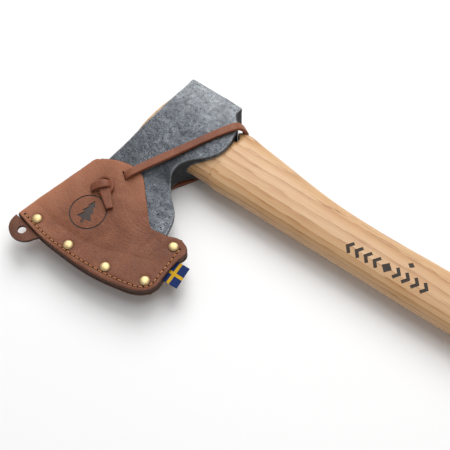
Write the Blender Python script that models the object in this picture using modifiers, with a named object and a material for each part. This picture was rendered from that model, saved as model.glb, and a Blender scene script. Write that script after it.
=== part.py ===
"""A felling axe lying on its side with its leather sheath laced on.

Metres, +Z up. The handle runs along +X, the bit points to -Y and the poll to +Y. Plan positions are
written in millimetres from the middle of the head's eye and its mid plane. An empty carries
everything, so that the object stands on Z = 0 with the origin under the middle of its box.
"""

import math

import bmesh
import bpy
import numpy as np
from mathutils import Matrix, Vector

MM = 0.001
GAP = 0.3  # clearance between pieces that touch, mm

# Head: (y at top edge, y at under edge, bow of the row, x top, x under, half thickness top, mid, under)
HEAD_ROWS = (
    (49.0, 49.0, 0.0, 3.8, 56.6, 13.4, 13.8, 13.4),
    (47.6, 47.6, 0.0, 2.4, 58.0, 14.8, 15.2, 14.8),
    (41.0, 41.0, 0.0, 2.1, 57.3, 15.0, 15.8, 15.0),
    (36.5, 36.5, 0.0, 1.9, 60.4, 15.3, 16.4, 15.2),
    (32.0, 32.0, 0.0, 1.7, 65.2, 15.6, 17.0, 15.5),
    (26.0, 26.0, 0.0, 1.4, 68.4, 16.0, 17.8, 16.0),
    (19.0, 19.0, 0.0, 0.9, 70.5, 16.4, 18.0, 16.6),
    (12.0, 12.0, 0.0, 0.6, 72.1, 16.6, 18.0, 17.0),
    (4.0, 4.0, 0.0, 0.4, 72.5, 16.6, 18.0, 17.2),
    (-2.0, -2.0, 0.0, 0.1, 71.4, 16.4, 18.0, 17.2),
    (-7.0, -7.0, 0.0, -0.4, 69.4, 16.0, 17.9, 17.0),
    (-12.3, -12.3, 0.0, -0.8, 65.8, 15.6, 17.6, 16.8),
    (-17.3, -17.3, 0.0, -1.2, 61.0, 15.0, 17.2, 16.4),
    (-23.2, -23.2, 0.0, -1.7, 54.7, 14.3, 16.5, 15.8),
    (-28.2, -28.2, 0.0, -2.3, 51.0, 13.4, 15.7, 15.0),
    (-33.8, -33.8, 0.0, -2.9, 48.8, 12.2, 14.7, 14.0),
    (-39.3, -39.3, 0.0, -3.7, 48.5, 11.0, 13.7, 12.0),
    (-44.4, -44.4, 0.0, -4.5, 50.2, 9.6, 12.8, 8.5),
    (-49.0, -49.0, 0.0, -5.3, 53.3, 8.6, 12.0, 5.2),
    (-54.0, -54.0, 0.0, -6.1, 57.7, 7.6, 11.2, 3.4),
    (-59.0, -59.0, 0.0, -6.9, 62.8, 6.8, 10.4, 2.8),
    (-65.0, -65.0, 0.0, -8.0, 69.8, 6.0, 9.6, 2.5),
    (-72.0, -72.0, 0.0, -9.7, 74.6, 5.2, 8.7, 2.4),
    (-80.5, -80.0, 0.5, -11.9, 77.5, 4.5, 7.7, 2.3),
    (-92.0, -90.0, 1.0, -14.7, 79.6, 3.8, 6.5, 2.2),
    (-104.0, -100.0, 2.5, -17.6, 80.5, 3.1, 5.1, 2.0),
    (-116.0, -108.0, 5.0, -20.4, 80.8, 2.4, 3.5, 1.8),
    (-127.0, -114.5, 8.5, -23.0, 80.8, 1.5, 1.9, 1.3),
    (-134.5, -120.0, 11.0, -24.6, 80.2, 0.2, 0.2, 0.2),
)
ACROSS = (0.0, 0.02, 0.07, 0.18, 0.32, 0.5, 0.68, 0.82, 0.93, 0.98, 1.0)
EDGE_CHAMFER = 1.2

# Eye and tenon
TENON_END = -4.6
TENON = (22.6, -25.0, 12.4)  # y of upper edge, y of under edge, half thickness
EYE_MARGIN = 8.0  # how far the eye's cutter starts outside the head
EYE_LENGTH = 78.0

# Handle: (x, y of upper edge, y of under edge, half thickness)
HANDLE_ROWS = (
    (TENON_END, 22.0, -24.4, 11.8),
    (TENON_END + 1.2, *TENON),
    (30.0, *TENON),
    (73.2, *TENON),
    (73.8, 29.6, -25.1, 12.5),
    (75.0, 32.6, -25.3, 12.7),
    (77.6, 34.4, -25.8, 12.9),
    (83.0, 35.2, -26.4, 13.0),
    (90.0, 34.0, -26.0, 13.1),
    (103.0, 32.2, -25.3, 13.2),
    (120.0, 30.0, -25.0, 13.3),
    (145.0, 26.4, -24.7, 13.3),
    (175.0, 23.0, -24.2, 13.2),
    (205.0, 21.8, -23.6, 13.0),
    (240.0, 22.2, -23.2, 12.8),
    (280.0, 24.0, -22.8, 12.6),
    (330.0, 24.8, -21.4, 12.4),
    (390.0, 24.0, -19.0, 12.1),
    (450.0, 21.4, -17.6, 11.9),
    (510.0, 17.4, -18.6, 11.8),
    (565.0, 12.6, -22.4, 11.9),
    (610.0, 8.4, -27.6, 12.3),
    (640.0, 6.2, -32.6, 13.0),
    (664.0, 5.6, -38.4, 13.9),
    (680.0, 4.8, -42.4, 14.4),
    (692.0, 2.0, -43.6, 14.0),
    (697.0, -4.0, -39.6, 11.6),
)
HANDLE_SIDES = 28
OVAL_POWER = 2.3  # 2 is an ellipse, more is squarer

# Wedges in the tenon's end
WOOD_WEDGE = (39.0, 3.6, 42.0)  # along the eye, thick at its head, deep
WOOD_WEDGE_Y = -1.2
STEEL_WEDGE = (2.4, 15.0, 20.0)  # thick, along Z, deep
STEEL_WEDGE_Y = 6.6
WEDGE_PROUD = 0.8
STEEL_PROUD = 1.2
SLOT_START = 2.0  # how far outside the tenon the slots' cutters start

# Sheath
LEATHER = 3.2
WELT = 3.2
POCKET_PLAY = 0.9
FOLD_DIRECTION = Vector((-0.2347, -0.9721, 0.0))  # the way the sheath comes off
MOUTH = (
    (-14.4, -68.6), (-10.6, -65.2), (-6.2, -62.2), (1.0, -59.0), (9.0, -57.0), (20.0, -56.2),
    (30.0, -58.8), (36.4, -63.8), (42.6, -70.2), (49.3, -76.8), (55.6, -83.2), (61.6, -89.2),
    (67.0, -92.2), (75.0, -90.8), (82.0, -89.4), (88.0, -86.4), (93.5, -85.4),
)
FOLD = ((-14.4, -68.6), (-19.2, -89.0), (-23.1, -105.4), (-28.1, -126.4), (-32.3, -147.1))
SEAM_BOTTOM = (
    (-32.3, -147.1), (-18.6, -150.3), (-1.0, -153.2), (19.0, -154.4), (41.0, -154.6),
    (61.0, -152.8), (79.0, -149.0), (88.0, -146.4), (95.4, -142.4), (100.9, -136.9),
)
SEAM_SIDE = (
    (93.5, -85.4), (99.6, -87.6), (103.4, -91.4), (104.2, -96.0), (102.6, -102.0),
    (102.0, -112.0), (102.6, -122.0), (103.0, -130.0), (100.9, -136.9),
)
PANEL_COLUMNS = (
    0.0, 0.006, 0.02, 0.045, 0.1, 0.18, 0.27, 0.36, 0.45, 0.54, 0.63, 0.72, 0.8, 0.87, 0.94, 1.0,
)
FOLD_COLUMN = 3  # the fold is rounded up to here
PANEL_ROWS = 15
SIDE_POINTS = 41
FOLD_INSET = 8.0  # the fold is as high as the pocket is this far in from it
WELT_WIDTH = 14.0

RIVETS = ((-17.2, -142.0), (20.5, -145.4), (58.5, -142.9), (92.7, -133.4), (92.0, -94.4))
RIVET_CAP_RADIUS = 4.3
RIVET_SEAT_RADIUS = 8.6  # the leather's height this far around decides how high a rivet sits
RIVET_DOME = 2.0
RIVET_RIM = 0.4
RIVET_CAP_THICKNESS = 0.9
RIVET_POST_RADIUS = 1.5
THROUGH = 20.0  # half the height of the cutters that pass through everything
STITCH_LINE = (
    (-28.4, -144.6), (-13.5, -147.8), (1.7, -149.8), (20.0, -150.6), (33.0, -150.4), (48.6, -149.3),
    (63.9, -147.5), (77.8, -145.0), (91.2, -141.2), (97.4, -136.2), (99.2, -130.4), (98.6, -120.0),
    (98.4, -109.5), (97.9, -99.0), (97.7, -93.0),
)
THREAD_RADIUS = 0.4
THREAD_POINTS = 46

TAB_CENTRE = (-21.8, -152.0)
TAB_RADIUS = 14.4
TAB_NECK = ((-25.2, -139.5), (-26.0, -149.2), (-4.4, -152.0), (-4.4, -139.5))
TAB_HOLE = (-22.2, -156.4)
TAB_HOLE_RADIUS = 3.8
TAG_OUTLINE = ((98.8, -101.8), (113.9, -100.8), (116.1, -121.5), (99.0, -122.4))
TAG_THICKNESS = 1.2

# Lace
LACE_WIDTH = 6.5
LACE_THICKNESS = 2.8
LACE_SLIT = (18.6, -70.0)
LACE_ANGLE = math.radians(63.5)
SLIT_PLAY = 0.8
LACE_PATH = (  # distance from the slit along the lace's line, height
    (0.0, 10.6), (0.0, 12.6), (0.9, 14.6), (3.2, 15.9), (9.0, 16.6), (30.0, 17.6), (52.0, 19.0),
    (62.0, 19.6), (70.0, 19.7), (82.0, 19.7), (94.0, 19.7), (103.0, 19.65), (108.5, 19.2),
    (112.5, 17.2), (115.2, 13.6), (117.0, 9.4), (118.2, 4.6),
)
LACE_BOW = 8.5  # sideways sag of the leg that runs under the head
LACE_REACH = 21.1  # from the mid plane to the lace's outer face, which the axe lies on
KNOT_PATH = (  # x, y, width, height of the knotted end
    (7.4, -78.6, 4.0, 2.4), (9.4, -81.4, 9.0, 4.6), (12.2, -85.0, 11.0, 6.0), (14.6, -88.0, 9.4, 5.0),
    (17.0, -90.6, 7.4, 3.0), (24.0, -96.6, 6.6, 2.8), (31.0, -102.6, 5.6, 2.6),
)
KNOT_SECTION = (  # shares of its width and height
    (-0.5, 0.25), (-0.35, 0.0), (0.35, 0.0), (0.5, 0.25), (0.4, 0.85), (0.0, 1.0), (-0.4, 0.85),
)

# The whole object's box about the eye, in plan
BOX_LOW = (TAB_CENTRE[0] - TAB_RADIUS, TAB_CENTRE[1] - TAB_RADIUS)
BOX_HIGH = (HANDLE_ROWS[-1][0], HEAD_ROWS[0][0])


def cleared_scene():
    for item in list(bpy.data.objects):
        bpy.data.objects.remove(item, do_unlink=True)


def collection(name):
    made = bpy.data.collections.new(name)
    bpy.context.scene.collection.children.link(made)
    return made


def material(name, colour, roughness, metallic=0.0):
    made = bpy.data.materials.new(name)
    made.use_nodes = True
    shader = made.node_tree.nodes["Principled BSDF"]
    shader.inputs["Base Color"].default_value = (*colour, 1.0)
    shader.inputs["Roughness"].default_value = roughness
    shader.inputs["Metallic"].default_value = metallic
    made.diffuse_color = (*colour, 1.0)
    return made


def placed(item, group, parent, surface=None):
    """Links an object under the frame's empty, or under another parent on a joint's axis."""
    group.objects.link(item)
    item.parent = parent
    item.matrix_parent_inverse = Matrix.Translation(-Vector(parent.get("pivot", (0.0, 0.0, 0.0))))
    if surface:
        item.data.materials.append(surface)
    else:
        item.hide_render = True
        item.display_type = "WIRE"
    return item


def smooth_shaded(item, angle=35.0):
    item.data.shade_smooth()
    item.data.set_sharp_from_angle(angle=math.radians(angle))
    return item


def curve_through(points, steps):
    """Catmull-Rom points through a list of points, both ends kept, with a number of steps a span."""
    known = np.array(points, float)
    known = np.vstack([2 * known[0] - known[1], known, 2 * known[-1] - known[-2]])
    t = (np.arange(steps) / steps)[:, None]
    spans = []
    for a, b, c, d in zip(known, known[1:], known[2:], known[3:]):
        square = 2 * a - 5 * b + 4 * c - d
        cube = 3 * b - a - 3 * c + d
        spans.append(0.5 * (2 * b + (c - a) * t + square * t**2 + cube * t**3))
    return np.vstack([*spans, known[-2:-1]])


def evenly(points, fractions):
    """Points at the given shares of a line's length."""
    spans = np.linalg.norm(np.diff(points, axis=0), axis=1)
    reach = np.concatenate([[0.0], np.cumsum(spans)])
    wanted = np.array(fractions) * reach[-1]
    return np.stack([np.interp(wanted, reach, column) for column in points.T], 1)


def mesh_object(name, bm):
    bmesh.ops.recalc_face_normals(bm, faces=bm.faces)
    mesh = bpy.data.meshes.new(name)
    bm.to_mesh(mesh)
    bm.free()
    return bpy.data.objects.new(name, mesh)


def loft(name, rings):
    """A closed solid through rings of the same number of points, given in millimetres."""
    bm = bmesh.new()
    rows = [[bm.verts.new(Vector(point) * MM) for point in ring] for ring in rings]
    for near, far in zip(rows, rows[1:]):
        for i in range(len(near)):
            j = (i + 1) % len(near)
            bm.faces.new((near[i], near[j], far[j], far[i]))
    bm.faces.new(rows[0])
    bm.faces.new(rows[-1])
    return mesh_object(name, bm)


def extruded(name, outline, half_depth, holes=()):
    """A flat outline in the XY plane, in millimetres, extruded to both sides, as a mesh object."""
    data = bpy.data.curves.new(name, "CURVE")
    data.dimensions = "2D"
    data.fill_mode = "BOTH"
    data.extrude = half_depth * MM
    for loop in (outline, *holes):
        spline = data.splines.new("POLY")
        spline.points.add(len(loop) - 1)
        for point, (x, y) in zip(spline.points, loop):
            point.co = (x * MM, y * MM, 0.0, 1.0)
        spline.use_cyclic_u = True
    return curve_as_mesh(name, data)


def tube(name, points, radius):
    """A round tube along points in millimetres, as a mesh object."""
    data = bpy.data.curves.new(name, "CURVE")
    data.dimensions = "3D"
    data.bevel_depth = radius * MM
    data.bevel_resolution = 1
    data.use_fill_caps = True
    spline = data.splines.new("POLY")
    spline.points.add(len(points) - 1)
    for point, place in zip(spline.points, points):
        point.co = (*(c * MM for c in place), 1.0)
    return curve_as_mesh(name, data)


def curve_as_mesh(name, data):
    """A welded mesh object from curve data, so that a Boolean can use it."""
    drawn = bpy.data.objects.new(name + "_curve", data)
    bpy.context.scene.collection.objects.link(drawn)
    mesh = bpy.data.meshes.new_from_object(drawn.evaluated_get(bpy.context.evaluated_depsgraph_get()))
    bpy.data.objects.remove(drawn, do_unlink=True)
    bm = bmesh.new()
    bm.from_mesh(mesh)
    bmesh.ops.remove_doubles(bm, verts=bm.verts, dist=1e-6)
    bpy.data.meshes.remove(mesh)
    return mesh_object(name, bm)


def cylinders(name, places, radius, low, high, sides=24):
    """Upright cylinders at plan places, in millimetres, as one mesh object."""
    bm = bmesh.new()
    for x, y in places:
        spot = Matrix.Translation(Vector((x, y, (low + high) / 2)) * MM)
        bmesh.ops.create_cone(
            bm, cap_ends=True, segments=sides, radius1=radius * MM, radius2=radius * MM,
            depth=(high - low) * MM, matrix=spot,
        )
    return mesh_object(name, bm)


def box(name, centre, size, turn=0.0):
    """A box, in millimetres, turned about +Z."""
    bm = bmesh.new()
    place = Matrix.Translation(Vector(centre) * MM) @ Matrix.Rotation(turn, 4, "Z")
    bmesh.ops.create_cube(bm, size=1.0, matrix=place @ Matrix.Diagonal((*(s * MM for s in size), 1.0)))
    return mesh_object(name, bm)


def boolean(item, cutter, operation="DIFFERENCE"):
    step = item.modifiers.new(operation.lower() + "_" + cutter.name, "BOOLEAN")
    step.operation = operation
    step.object = cutter
    step.solver = "EXACT"


def turned(name, profile, place, group, parent, surface, segments=28):
    """A turned piece from a radius and height profile that runs down its outer side."""
    bm = bmesh.new()
    points = [bm.verts.new((radius * MM, 0.0, height * MM)) for radius, height in profile]
    for upper, lower in zip(points, points[1:]):
        bm.edges.new((upper, lower))
    mesh = bpy.data.meshes.new(name)
    bm.to_mesh(mesh)
    bm.free()
    item = placed(bpy.data.objects.new(name, mesh), group, parent, surface)
    item.location = Vector((*place, 0.0)) * MM
    screw = item.modifiers.new("turn", "SCREW")
    screw.steps = segments
    screw.render_steps = segments
    screw.use_merge_vertices = True
    screw.merge_threshold = 1e-5
    screw.use_smooth_shade = True
    return item


# ---- head


def head_row(row):
    """The points of one row across the cheek: x, y and half thickness."""
    y_top, y_under, bow, x_top, x_under, half_top, half_mid, half_under = row
    across = np.array(ACROSS)
    x = x_top + (x_under - x_top) * across
    y = y_top + (y_under - y_top) * across - bow * 4 * across * (1 - across)
    share = np.clip(np.abs(across - 0.5) / 0.5, 0.0, 1.0)
    ease = share * share * (3 - 2 * share)
    side = np.where(across < 0.5, half_top, half_under)
    half = half_mid + (side - half_mid) * ease
    chamfer = np.minimum(EDGE_CHAMFER, 0.3 * half)
    half = half - np.where((across == 0.0) | (across == 1.0), chamfer, 0.0)
    return x, y, half


def blade_half(x, y):
    """Half the head's thickness at a plan place, fading to nothing just past the under edge."""
    heights = []
    places = []
    for row in HEAD_ROWS:
        row_x, row_y, row_half = head_row(row)
        past = max(0.0, x - row_x[-1])
        heights.append(float(np.interp(x, row_x, row_half)) * max(0.0, 1.0 - past / 8.0))
        places.append(float(np.interp(x, row_x, row_y)))
    if y < places[-1]:
        return 0.0
    return float(np.interp(-y, [-p for p in places], heights))


def axe_head(group, cutters, frame, surface):
    rings = []
    for row in HEAD_ROWS:
        x, y, half = head_row(row)
        upper = list(zip(x, y, half))
        rings.append(upper + [(a, b, -c) for a, b, c in reversed(upper)])
    head = placed(smooth_shaded(loft("axe_head", rings)), group, frame, surface)
    eye = eye_rings([(-EYE_MARGIN, GAP), (EYE_LENGTH, GAP)])
    boolean(head, placed(loft("eye_cutter", eye), cutters, frame))
    return head


# ---- handle


def oval(x, high, low, half_thick):
    """A squared oval across the handle."""
    ring = []
    for k in range(HANDLE_SIDES):
        turn = 2 * math.pi * k / HANDLE_SIDES
        c, s = math.cos(turn), math.sin(turn)
        y = (high + low) / 2 + (high - low) / 2 * math.copysign(abs(c) ** (2 / OVAL_POWER), c)
        z = half_thick * math.copysign(abs(s) ** (2 / OVAL_POWER), s)
        ring.append((x, y, z))
    return ring


def eye_rings(stations):
    """Rings of the tenon's oval, each grown by a margin."""
    high, low, half_thick = TENON
    return [oval(x, high + more, low - more, half_thick + more) for x, more in stations]


def wedge_rings(length, thick, deep, middle, proud, more, along_y):
    """A wedge driven into the tenon's end, thick at its head and thin inside."""
    rings = []
    for x, thinned, narrowed in ((TENON_END - proud, 1.0, 1.0), (TENON_END + deep + more, 0.25, 0.94)):
        a = length / 2 * narrowed + more
        b = thick / 2 * thinned + more
        dy, dz = (a, b) if along_y else (b, a)
        high, low = middle + dy, middle - dy
        rings.append([(x, high, dz), (x, low, dz), (x, low, -dz), (x, high, -dz)])
    return rings


def handle_and_wedges(group, cutters, frame, wood, wedge_wood, steel):
    handle = placed(smooth_shaded(loft("handle", [oval(*row) for row in HANDLE_ROWS])), group, frame, wood)
    length, thick, deep = WOOD_WEDGE
    wedge = wedge_rings(length, thick, deep, WOOD_WEDGE_Y, WEDGE_PROUD, 0.0, True)
    wood_wedge = placed(loft("eye_wedge", wedge), group, frame, wedge_wood)
    slot = wedge_rings(length, thick, deep, WOOD_WEDGE_Y, SLOT_START, GAP, True)
    boolean(handle, placed(loft("wedge_slot", slot), cutters, frame))
    thick, tall, deep = STEEL_WEDGE
    cross = wedge_rings(tall, thick, deep, STEEL_WEDGE_Y, STEEL_PROUD, 0.0, False)
    placed(loft("steel_wedge", cross), group, frame, steel)
    cross_slot = wedge_rings(tall, thick, deep, STEEL_WEDGE_Y, SLOT_START, GAP, False)
    cross_cutter = placed(loft("cross_wedge_slot", cross_slot), cutters, frame)
    boolean(handle, cross_cutter)
    boolean(wood_wedge, cross_cutter)


# ---- sheath


def pocket_half(x, y):
    """Half the pocket's height, which the blade clears wherever it passes as the sheath comes off."""
    way = FOLD_DIRECTION
    tallest = max(blade_half(x + way.x * s, y + way.y * s) for s in range(0, 60, 6))
    return max(tallest + POCKET_PLAY, WELT / 2 + GAP / 2)


def panel_point(u, v, sides):
    """A Coons patch between the mouth, the seam's bottom, the fold and the seam's side."""
    mouth, bottom, fold, side = sides
    ends = (mouth[0], mouth[-1], bottom[0], bottom[-1])
    iu = u * (len(mouth) - 1)
    top = lerp_row(mouth, iu)
    low = lerp_row(bottom, iu)
    iv = v * (len(fold) - 1)
    left = lerp_row(fold, iv)
    right = lerp_row(side, iv)
    corners = (1 - v) * ((1 - u) * ends[0] + u * ends[1]) + v * ((1 - u) * ends[2] + u * ends[3])
    return (1 - v) * top + v * low + (1 - u) * left + u * right - corners


def lerp_row(points, index):
    low = min(int(index), len(points) - 2)
    return points[low] + (points[low + 1] - points[low]) * (index - low)


def panel_grid():
    """The inner face of the front panel as rows of x, y, z, from the fold's mid plane outwards."""
    even = np.linspace(0, 1, SIDE_POINTS)
    sides = [evenly(curve_through(line, 6), even) for line in (MOUTH, SEAM_BOTTOM, FOLD, SEAM_SIDE)]
    grid = []
    for v in np.linspace(0, 1, PANEL_ROWS):
        row = []
        for u in PANEL_COLUMNS:
            x, y = panel_point(u, v, sides)
            height = pocket_half(x, y)
            across = u / PANEL_COLUMNS[FOLD_COLUMN]
            if across < 1.0:
                edge_x, edge_y = lerp_row(sides[2], v * (SIDE_POINTS - 1))
                height = pocket_half(edge_x + FOLD_INSET, edge_y) * (1 - (1 - across) ** 3) ** (1 / 3)
            row.append((x, y, height))
        grid.append(row)
    return grid


def outer_height(x, y):
    """Height of the leather's outer face, for pieces that lie on it."""
    return pocket_half(x, y) + LEATHER


def sheath_leather(group, cutters, frame, surface):
    bm = bmesh.new()
    rows = [[bm.verts.new(Vector(point) * MM) for point in row] for row in panel_grid()]
    for near, far in zip(rows, rows[1:]):
        for i in range(len(near) - 1):
            bm.faces.new((near[i], far[i], far[i + 1], near[i + 1]))
    mesh = bpy.data.meshes.new("sheath_leather")
    bm.to_mesh(mesh)
    bm.free()
    sheath = placed(bpy.data.objects.new("sheath_leather", mesh), group, frame, surface)
    mirror = sheath.modifiers.new("fold", "MIRROR")
    mirror.use_axis = (False, False, True)
    mirror.merge_threshold = 1e-5
    thick = sheath.modifiers.new("leather", "SOLIDIFY")
    thick.thickness = LEATHER * MM
    thick.offset = 1.0
    thick.use_even_offset = True
    holes = cylinders("rivet_holes", RIVETS, RIVET_POST_RADIUS + GAP, -THROUGH, THROUGH)
    boolean(sheath, placed(holes, cutters, frame))
    size = (LACE_THICKNESS + SLIT_PLAY, LACE_WIDTH + SLIT_PLAY, 2 * THROUGH)
    boolean(sheath, placed(box("lace_slits", (*LACE_SLIT, 0.0), size, LACE_ANGLE), cutters, frame))


def seam_band(inset, width):
    """The outline of a strip that follows the seam, from the hanging tab to the mouth."""
    bottom = curve_through(SEAM_BOTTOM, 5)
    side = curve_through(SEAM_SIDE, 5)[::-1]
    line = np.vstack([bottom[bottom[:, 0] > -3.5], side[1:]])
    line = line[: np.argmax(line[:, 1] > -92.0)]
    ahead = np.gradient(line, axis=0)
    ahead /= np.linalg.norm(ahead, axis=1)[:, None]
    inward = np.stack([-ahead[:, 1], ahead[:, 0]], 1)
    outer = line + inward * inset
    inner = evenly(line + inward * width, np.linspace(0, 1, 24))
    return [tuple(p) for p in outer] + [tuple(p) for p in inner[::-1]]


def welt(group, cutters, frame, surface):
    strip = placed(extruded("welt", seam_band(0.2, WELT_WIDTH), WELT / 2 - GAP / 2), group, frame, surface)
    holes = cylinders("welt_holes", RIVETS[1:], RIVET_POST_RADIUS + GAP, -THROUGH, THROUGH)
    boolean(strip, placed(holes, cutters, frame))
    low, high = TAG_OUTLINE[2][1] - 1.4, TAG_OUTLINE[0][1] + 0.6
    notch = box("tag_notch", (103.5, (low + high) / 2, 0.0), (10.0, high - low, 8.0))
    boolean(strip, placed(notch, cutters, frame))


def hanging_tab(group, cutters, frame, surface):
    turns = [math.radians(a) for a in range(170, 341, 10)]
    x0, y0 = TAB_CENTRE
    lobe = [(x0 + TAB_RADIUS * math.cos(a), y0 + TAB_RADIUS * math.sin(a)) for a in turns]
    outline = [TAB_NECK[0], TAB_NECK[1], *lobe, TAB_NECK[2], TAB_NECK[3]]
    tab = placed(extruded("hanging_tab", outline, WELT / 2 - GAP / 2), group, frame, surface)
    hole = cylinders("tab_hole", (TAB_HOLE,), TAB_HOLE_RADIUS, -THROUGH, THROUGH, 32)
    boolean(tab, placed(hole, cutters, frame))
    rivet_hole = cylinders("tab_rivet_hole", RIVETS[:1], RIVET_POST_RADIUS + GAP, -THROUGH, THROUGH)
    boolean(tab, placed(rivet_hole, cutters, frame))


def stitches(group, frame, surface):
    line = evenly(curve_through(STITCH_LINE, 6), np.linspace(0, 1, THREAD_POINTS))
    for name, sign in (("thread_front", 1), ("thread_back", -1)):
        lift = GAP + THREAD_RADIUS
        points = [(x, y, sign * (outer_height(x, y) + lift)) for x, y in line]
        placed(smooth_shaded(tube(name, points, THREAD_RADIUS)), group, frame, surface)


def rivets(group, frame, surface):
    turns = [math.radians(a) for a in range(0, 360, 45)]
    for number, place in enumerate(RIVETS, 1):
        around = [Vector(place) + Vector((math.cos(a), math.sin(a))) * RIVET_SEAT_RADIUS for a in turns]
        seat = max(outer_height(*point) for point in around) + GAP
        bore = RIVET_POST_RADIUS + GAP
        top = seat + RIVET_DOME
        inside = top - RIVET_CAP_THICKNESS
        dome = [(0.0, top)]
        for turn in range(15, 91, 15):
            angle = math.radians(turn)
            height = seat + RIVET_RIM + (RIVET_DOME - RIVET_RIM) * math.cos(angle)
            dome.append((RIVET_CAP_RADIUS * math.sin(angle), height))
        cap = [*dome, (RIVET_CAP_RADIUS - 0.3, seat), (bore, seat), (bore, inside), (0.0, inside)]
        turned(f"rivet_cap_{number}", cap, place, group, frame, surface)
        post = RIVET_POST_RADIUS
        back = [
            (0.0, inside - GAP), (post, inside - GAP), (post, -seat), (RIVET_CAP_RADIUS - 0.4, -seat),
            (RIVET_CAP_RADIUS, -seat - 0.5), (RIVET_CAP_RADIUS - 1.0, -seat - 1.2), (0.0, -seat - 1.4),
        ]
        turned(f"rivet_back_{number}", back, place, group, frame, surface)


def woven_tag(group, frame, surface):
    placed(extruded("woven_tag", TAG_OUTLINE, TAG_THICKNESS / 2), group, frame, surface)


# ---- lace


def lace_loop(group, pivot, surface):
    """A flat lace that rises from the front slit, runs over the cheek, round behind and back below."""
    upper = curve_through(LACE_PATH, 3)
    line = np.vstack([upper, (upper * (1, -1))[::-1]])
    ahead = np.gradient(line, axis=0)
    ahead /= np.linalg.norm(ahead, axis=1)[:, None]
    side = np.stack([-ahead[:, 1], ahead[:, 0]], 1) * LACE_THICKNESS / 2
    c, s = math.cos(LACE_ANGLE), math.sin(LACE_ANGLE)
    rings = []
    for (reach, height), (out, rise) in zip(line, side):
        sag = LACE_BOW * math.sin(math.pi * reach / line[:, 0].max()) if height < 0 else 0.0
        ring = []
        for width, thick in ((1, 1), (-1, 1), (-1, -1), (1, -1)):
            along = reach + thick * out
            aside = sag + width * LACE_WIDTH / 2
            x, y = LACE_SLIT
            ring.append((x + along * c + aside * s, y + along * s - aside * c, height + thick * rise))
        rings.append(ring)
    placed(loft("lace_loop", rings), group, pivot, surface)


def lace_ends(group, frame, surface):
    """The knotted ends of the lace, flat on the front and on the back panel."""
    rows = curve_through(KNOT_PATH, 2)
    ahead = np.gradient(rows[:, :2], axis=0)
    ahead /= np.linalg.norm(ahead, axis=1)[:, None]
    for name, sign in (("lace_knot", 1), ("lace_end_back", -1)):
        rings = []
        for (x, y, width, height), (dx, dy) in zip(rows, ahead):
            foot = max(outer_height(x + k * dy, y - k * dx) for k in (-width / 2, 0, width / 2)) + GAP
            rings.append([
                (x + share * width * dy, y - share * width * dx, sign * (foot + rise * height))
                for share, rise in KNOT_SECTION
            ])
        placed(smooth_shaded(loft(name, rings)), group, frame, surface)


def main():
    cleared_scene()
    parts = collection("felling_axe")
    cutters = collection("cutters")
    frame = bpy.data.objects.new("axe_frame", None)
    parts.objects.link(frame)
    middle = [-(low + high) / 2 for low, high in zip(BOX_LOW, BOX_HIGH)]
    frame.location = Vector((*middle, LACE_REACH)) * MM
    pivot = bpy.data.objects.new("lace_pivot", None)
    parts.objects.link(pivot)
    pivot.parent = frame
    pivot.location = Vector((*LACE_SLIT, 0.0)) * MM
    pivot["pivot"] = tuple(pivot.location)

    steel = material("forged_steel", (0.26, 0.28, 0.30), 0.42, 0.85)
    ash = material("ash_wood", (0.78, 0.55, 0.33), 0.45)
    wedge_wood = material("wedge_wood", (0.55, 0.35, 0.18), 0.6)
    leather = material("leather", (0.30, 0.13, 0.075), 0.6)
    dark_leather = material("dark_leather", (0.17, 0.07, 0.045), 0.6)
    lace = material("lace_leather", (0.28, 0.10, 0.06), 0.6)
    brass = material("brass", (0.70, 0.52, 0.24), 0.3, 1.0)
    thread = material("thread", (0.62, 0.40, 0.22), 0.8)
    ribbon = material("ribbon", (0.03, 0.18, 0.42), 0.8)

    axe_head(parts, cutters, frame, steel)
    handle_and_wedges(parts, cutters, frame, ash, wedge_wood, steel)
    sheath_leather(parts, cutters, frame, leather)
    welt(parts, cutters, frame, leather)
    hanging_tab(parts, cutters, frame, dark_leather)
    stitches(parts, frame, thread)
    rivets(parts, frame, brass)
    woven_tag(parts, frame, ribbon)
    lace_loop(parts, pivot, lace)
    lace_ends(parts, frame, lace)


main()
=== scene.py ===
import math

import bmesh
import bpy
import numpy as np
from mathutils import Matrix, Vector, noise
from mathutils.bvhtree import BVHTree


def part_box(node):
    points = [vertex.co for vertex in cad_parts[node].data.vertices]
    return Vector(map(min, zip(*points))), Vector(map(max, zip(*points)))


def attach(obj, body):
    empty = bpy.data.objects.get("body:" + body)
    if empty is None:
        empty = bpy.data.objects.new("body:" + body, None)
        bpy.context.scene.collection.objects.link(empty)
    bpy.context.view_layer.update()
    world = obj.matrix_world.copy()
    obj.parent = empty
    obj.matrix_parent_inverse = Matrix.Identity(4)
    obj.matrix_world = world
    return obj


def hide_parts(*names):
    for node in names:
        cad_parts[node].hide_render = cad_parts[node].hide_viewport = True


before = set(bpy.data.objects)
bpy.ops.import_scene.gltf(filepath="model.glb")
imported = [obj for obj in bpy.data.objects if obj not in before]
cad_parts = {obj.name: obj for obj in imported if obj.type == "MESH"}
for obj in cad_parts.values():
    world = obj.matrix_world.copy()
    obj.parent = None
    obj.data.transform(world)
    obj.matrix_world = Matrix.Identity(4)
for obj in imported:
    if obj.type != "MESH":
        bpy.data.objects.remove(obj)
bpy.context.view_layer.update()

# Lengths are millimetres from the middle of the head's eye, as in the part: +X along the handle,
# -Y to the bit and +Z out of the cheek that faces up. EYE is that point in the frame, in metres.
MM = 0.001
HEAD_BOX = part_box("axe_head")
HANDLE_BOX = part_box("handle")
TENON_END = -4.6
POLL_Y = 49.0
EYE = Vector((HANDLE_BOX[0].x - TENON_END * MM, HEAD_BOX[1].y - POLL_Y * MM,
              (HEAD_BOX[0].z + HEAD_BOX[1].z) / 2))

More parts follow.
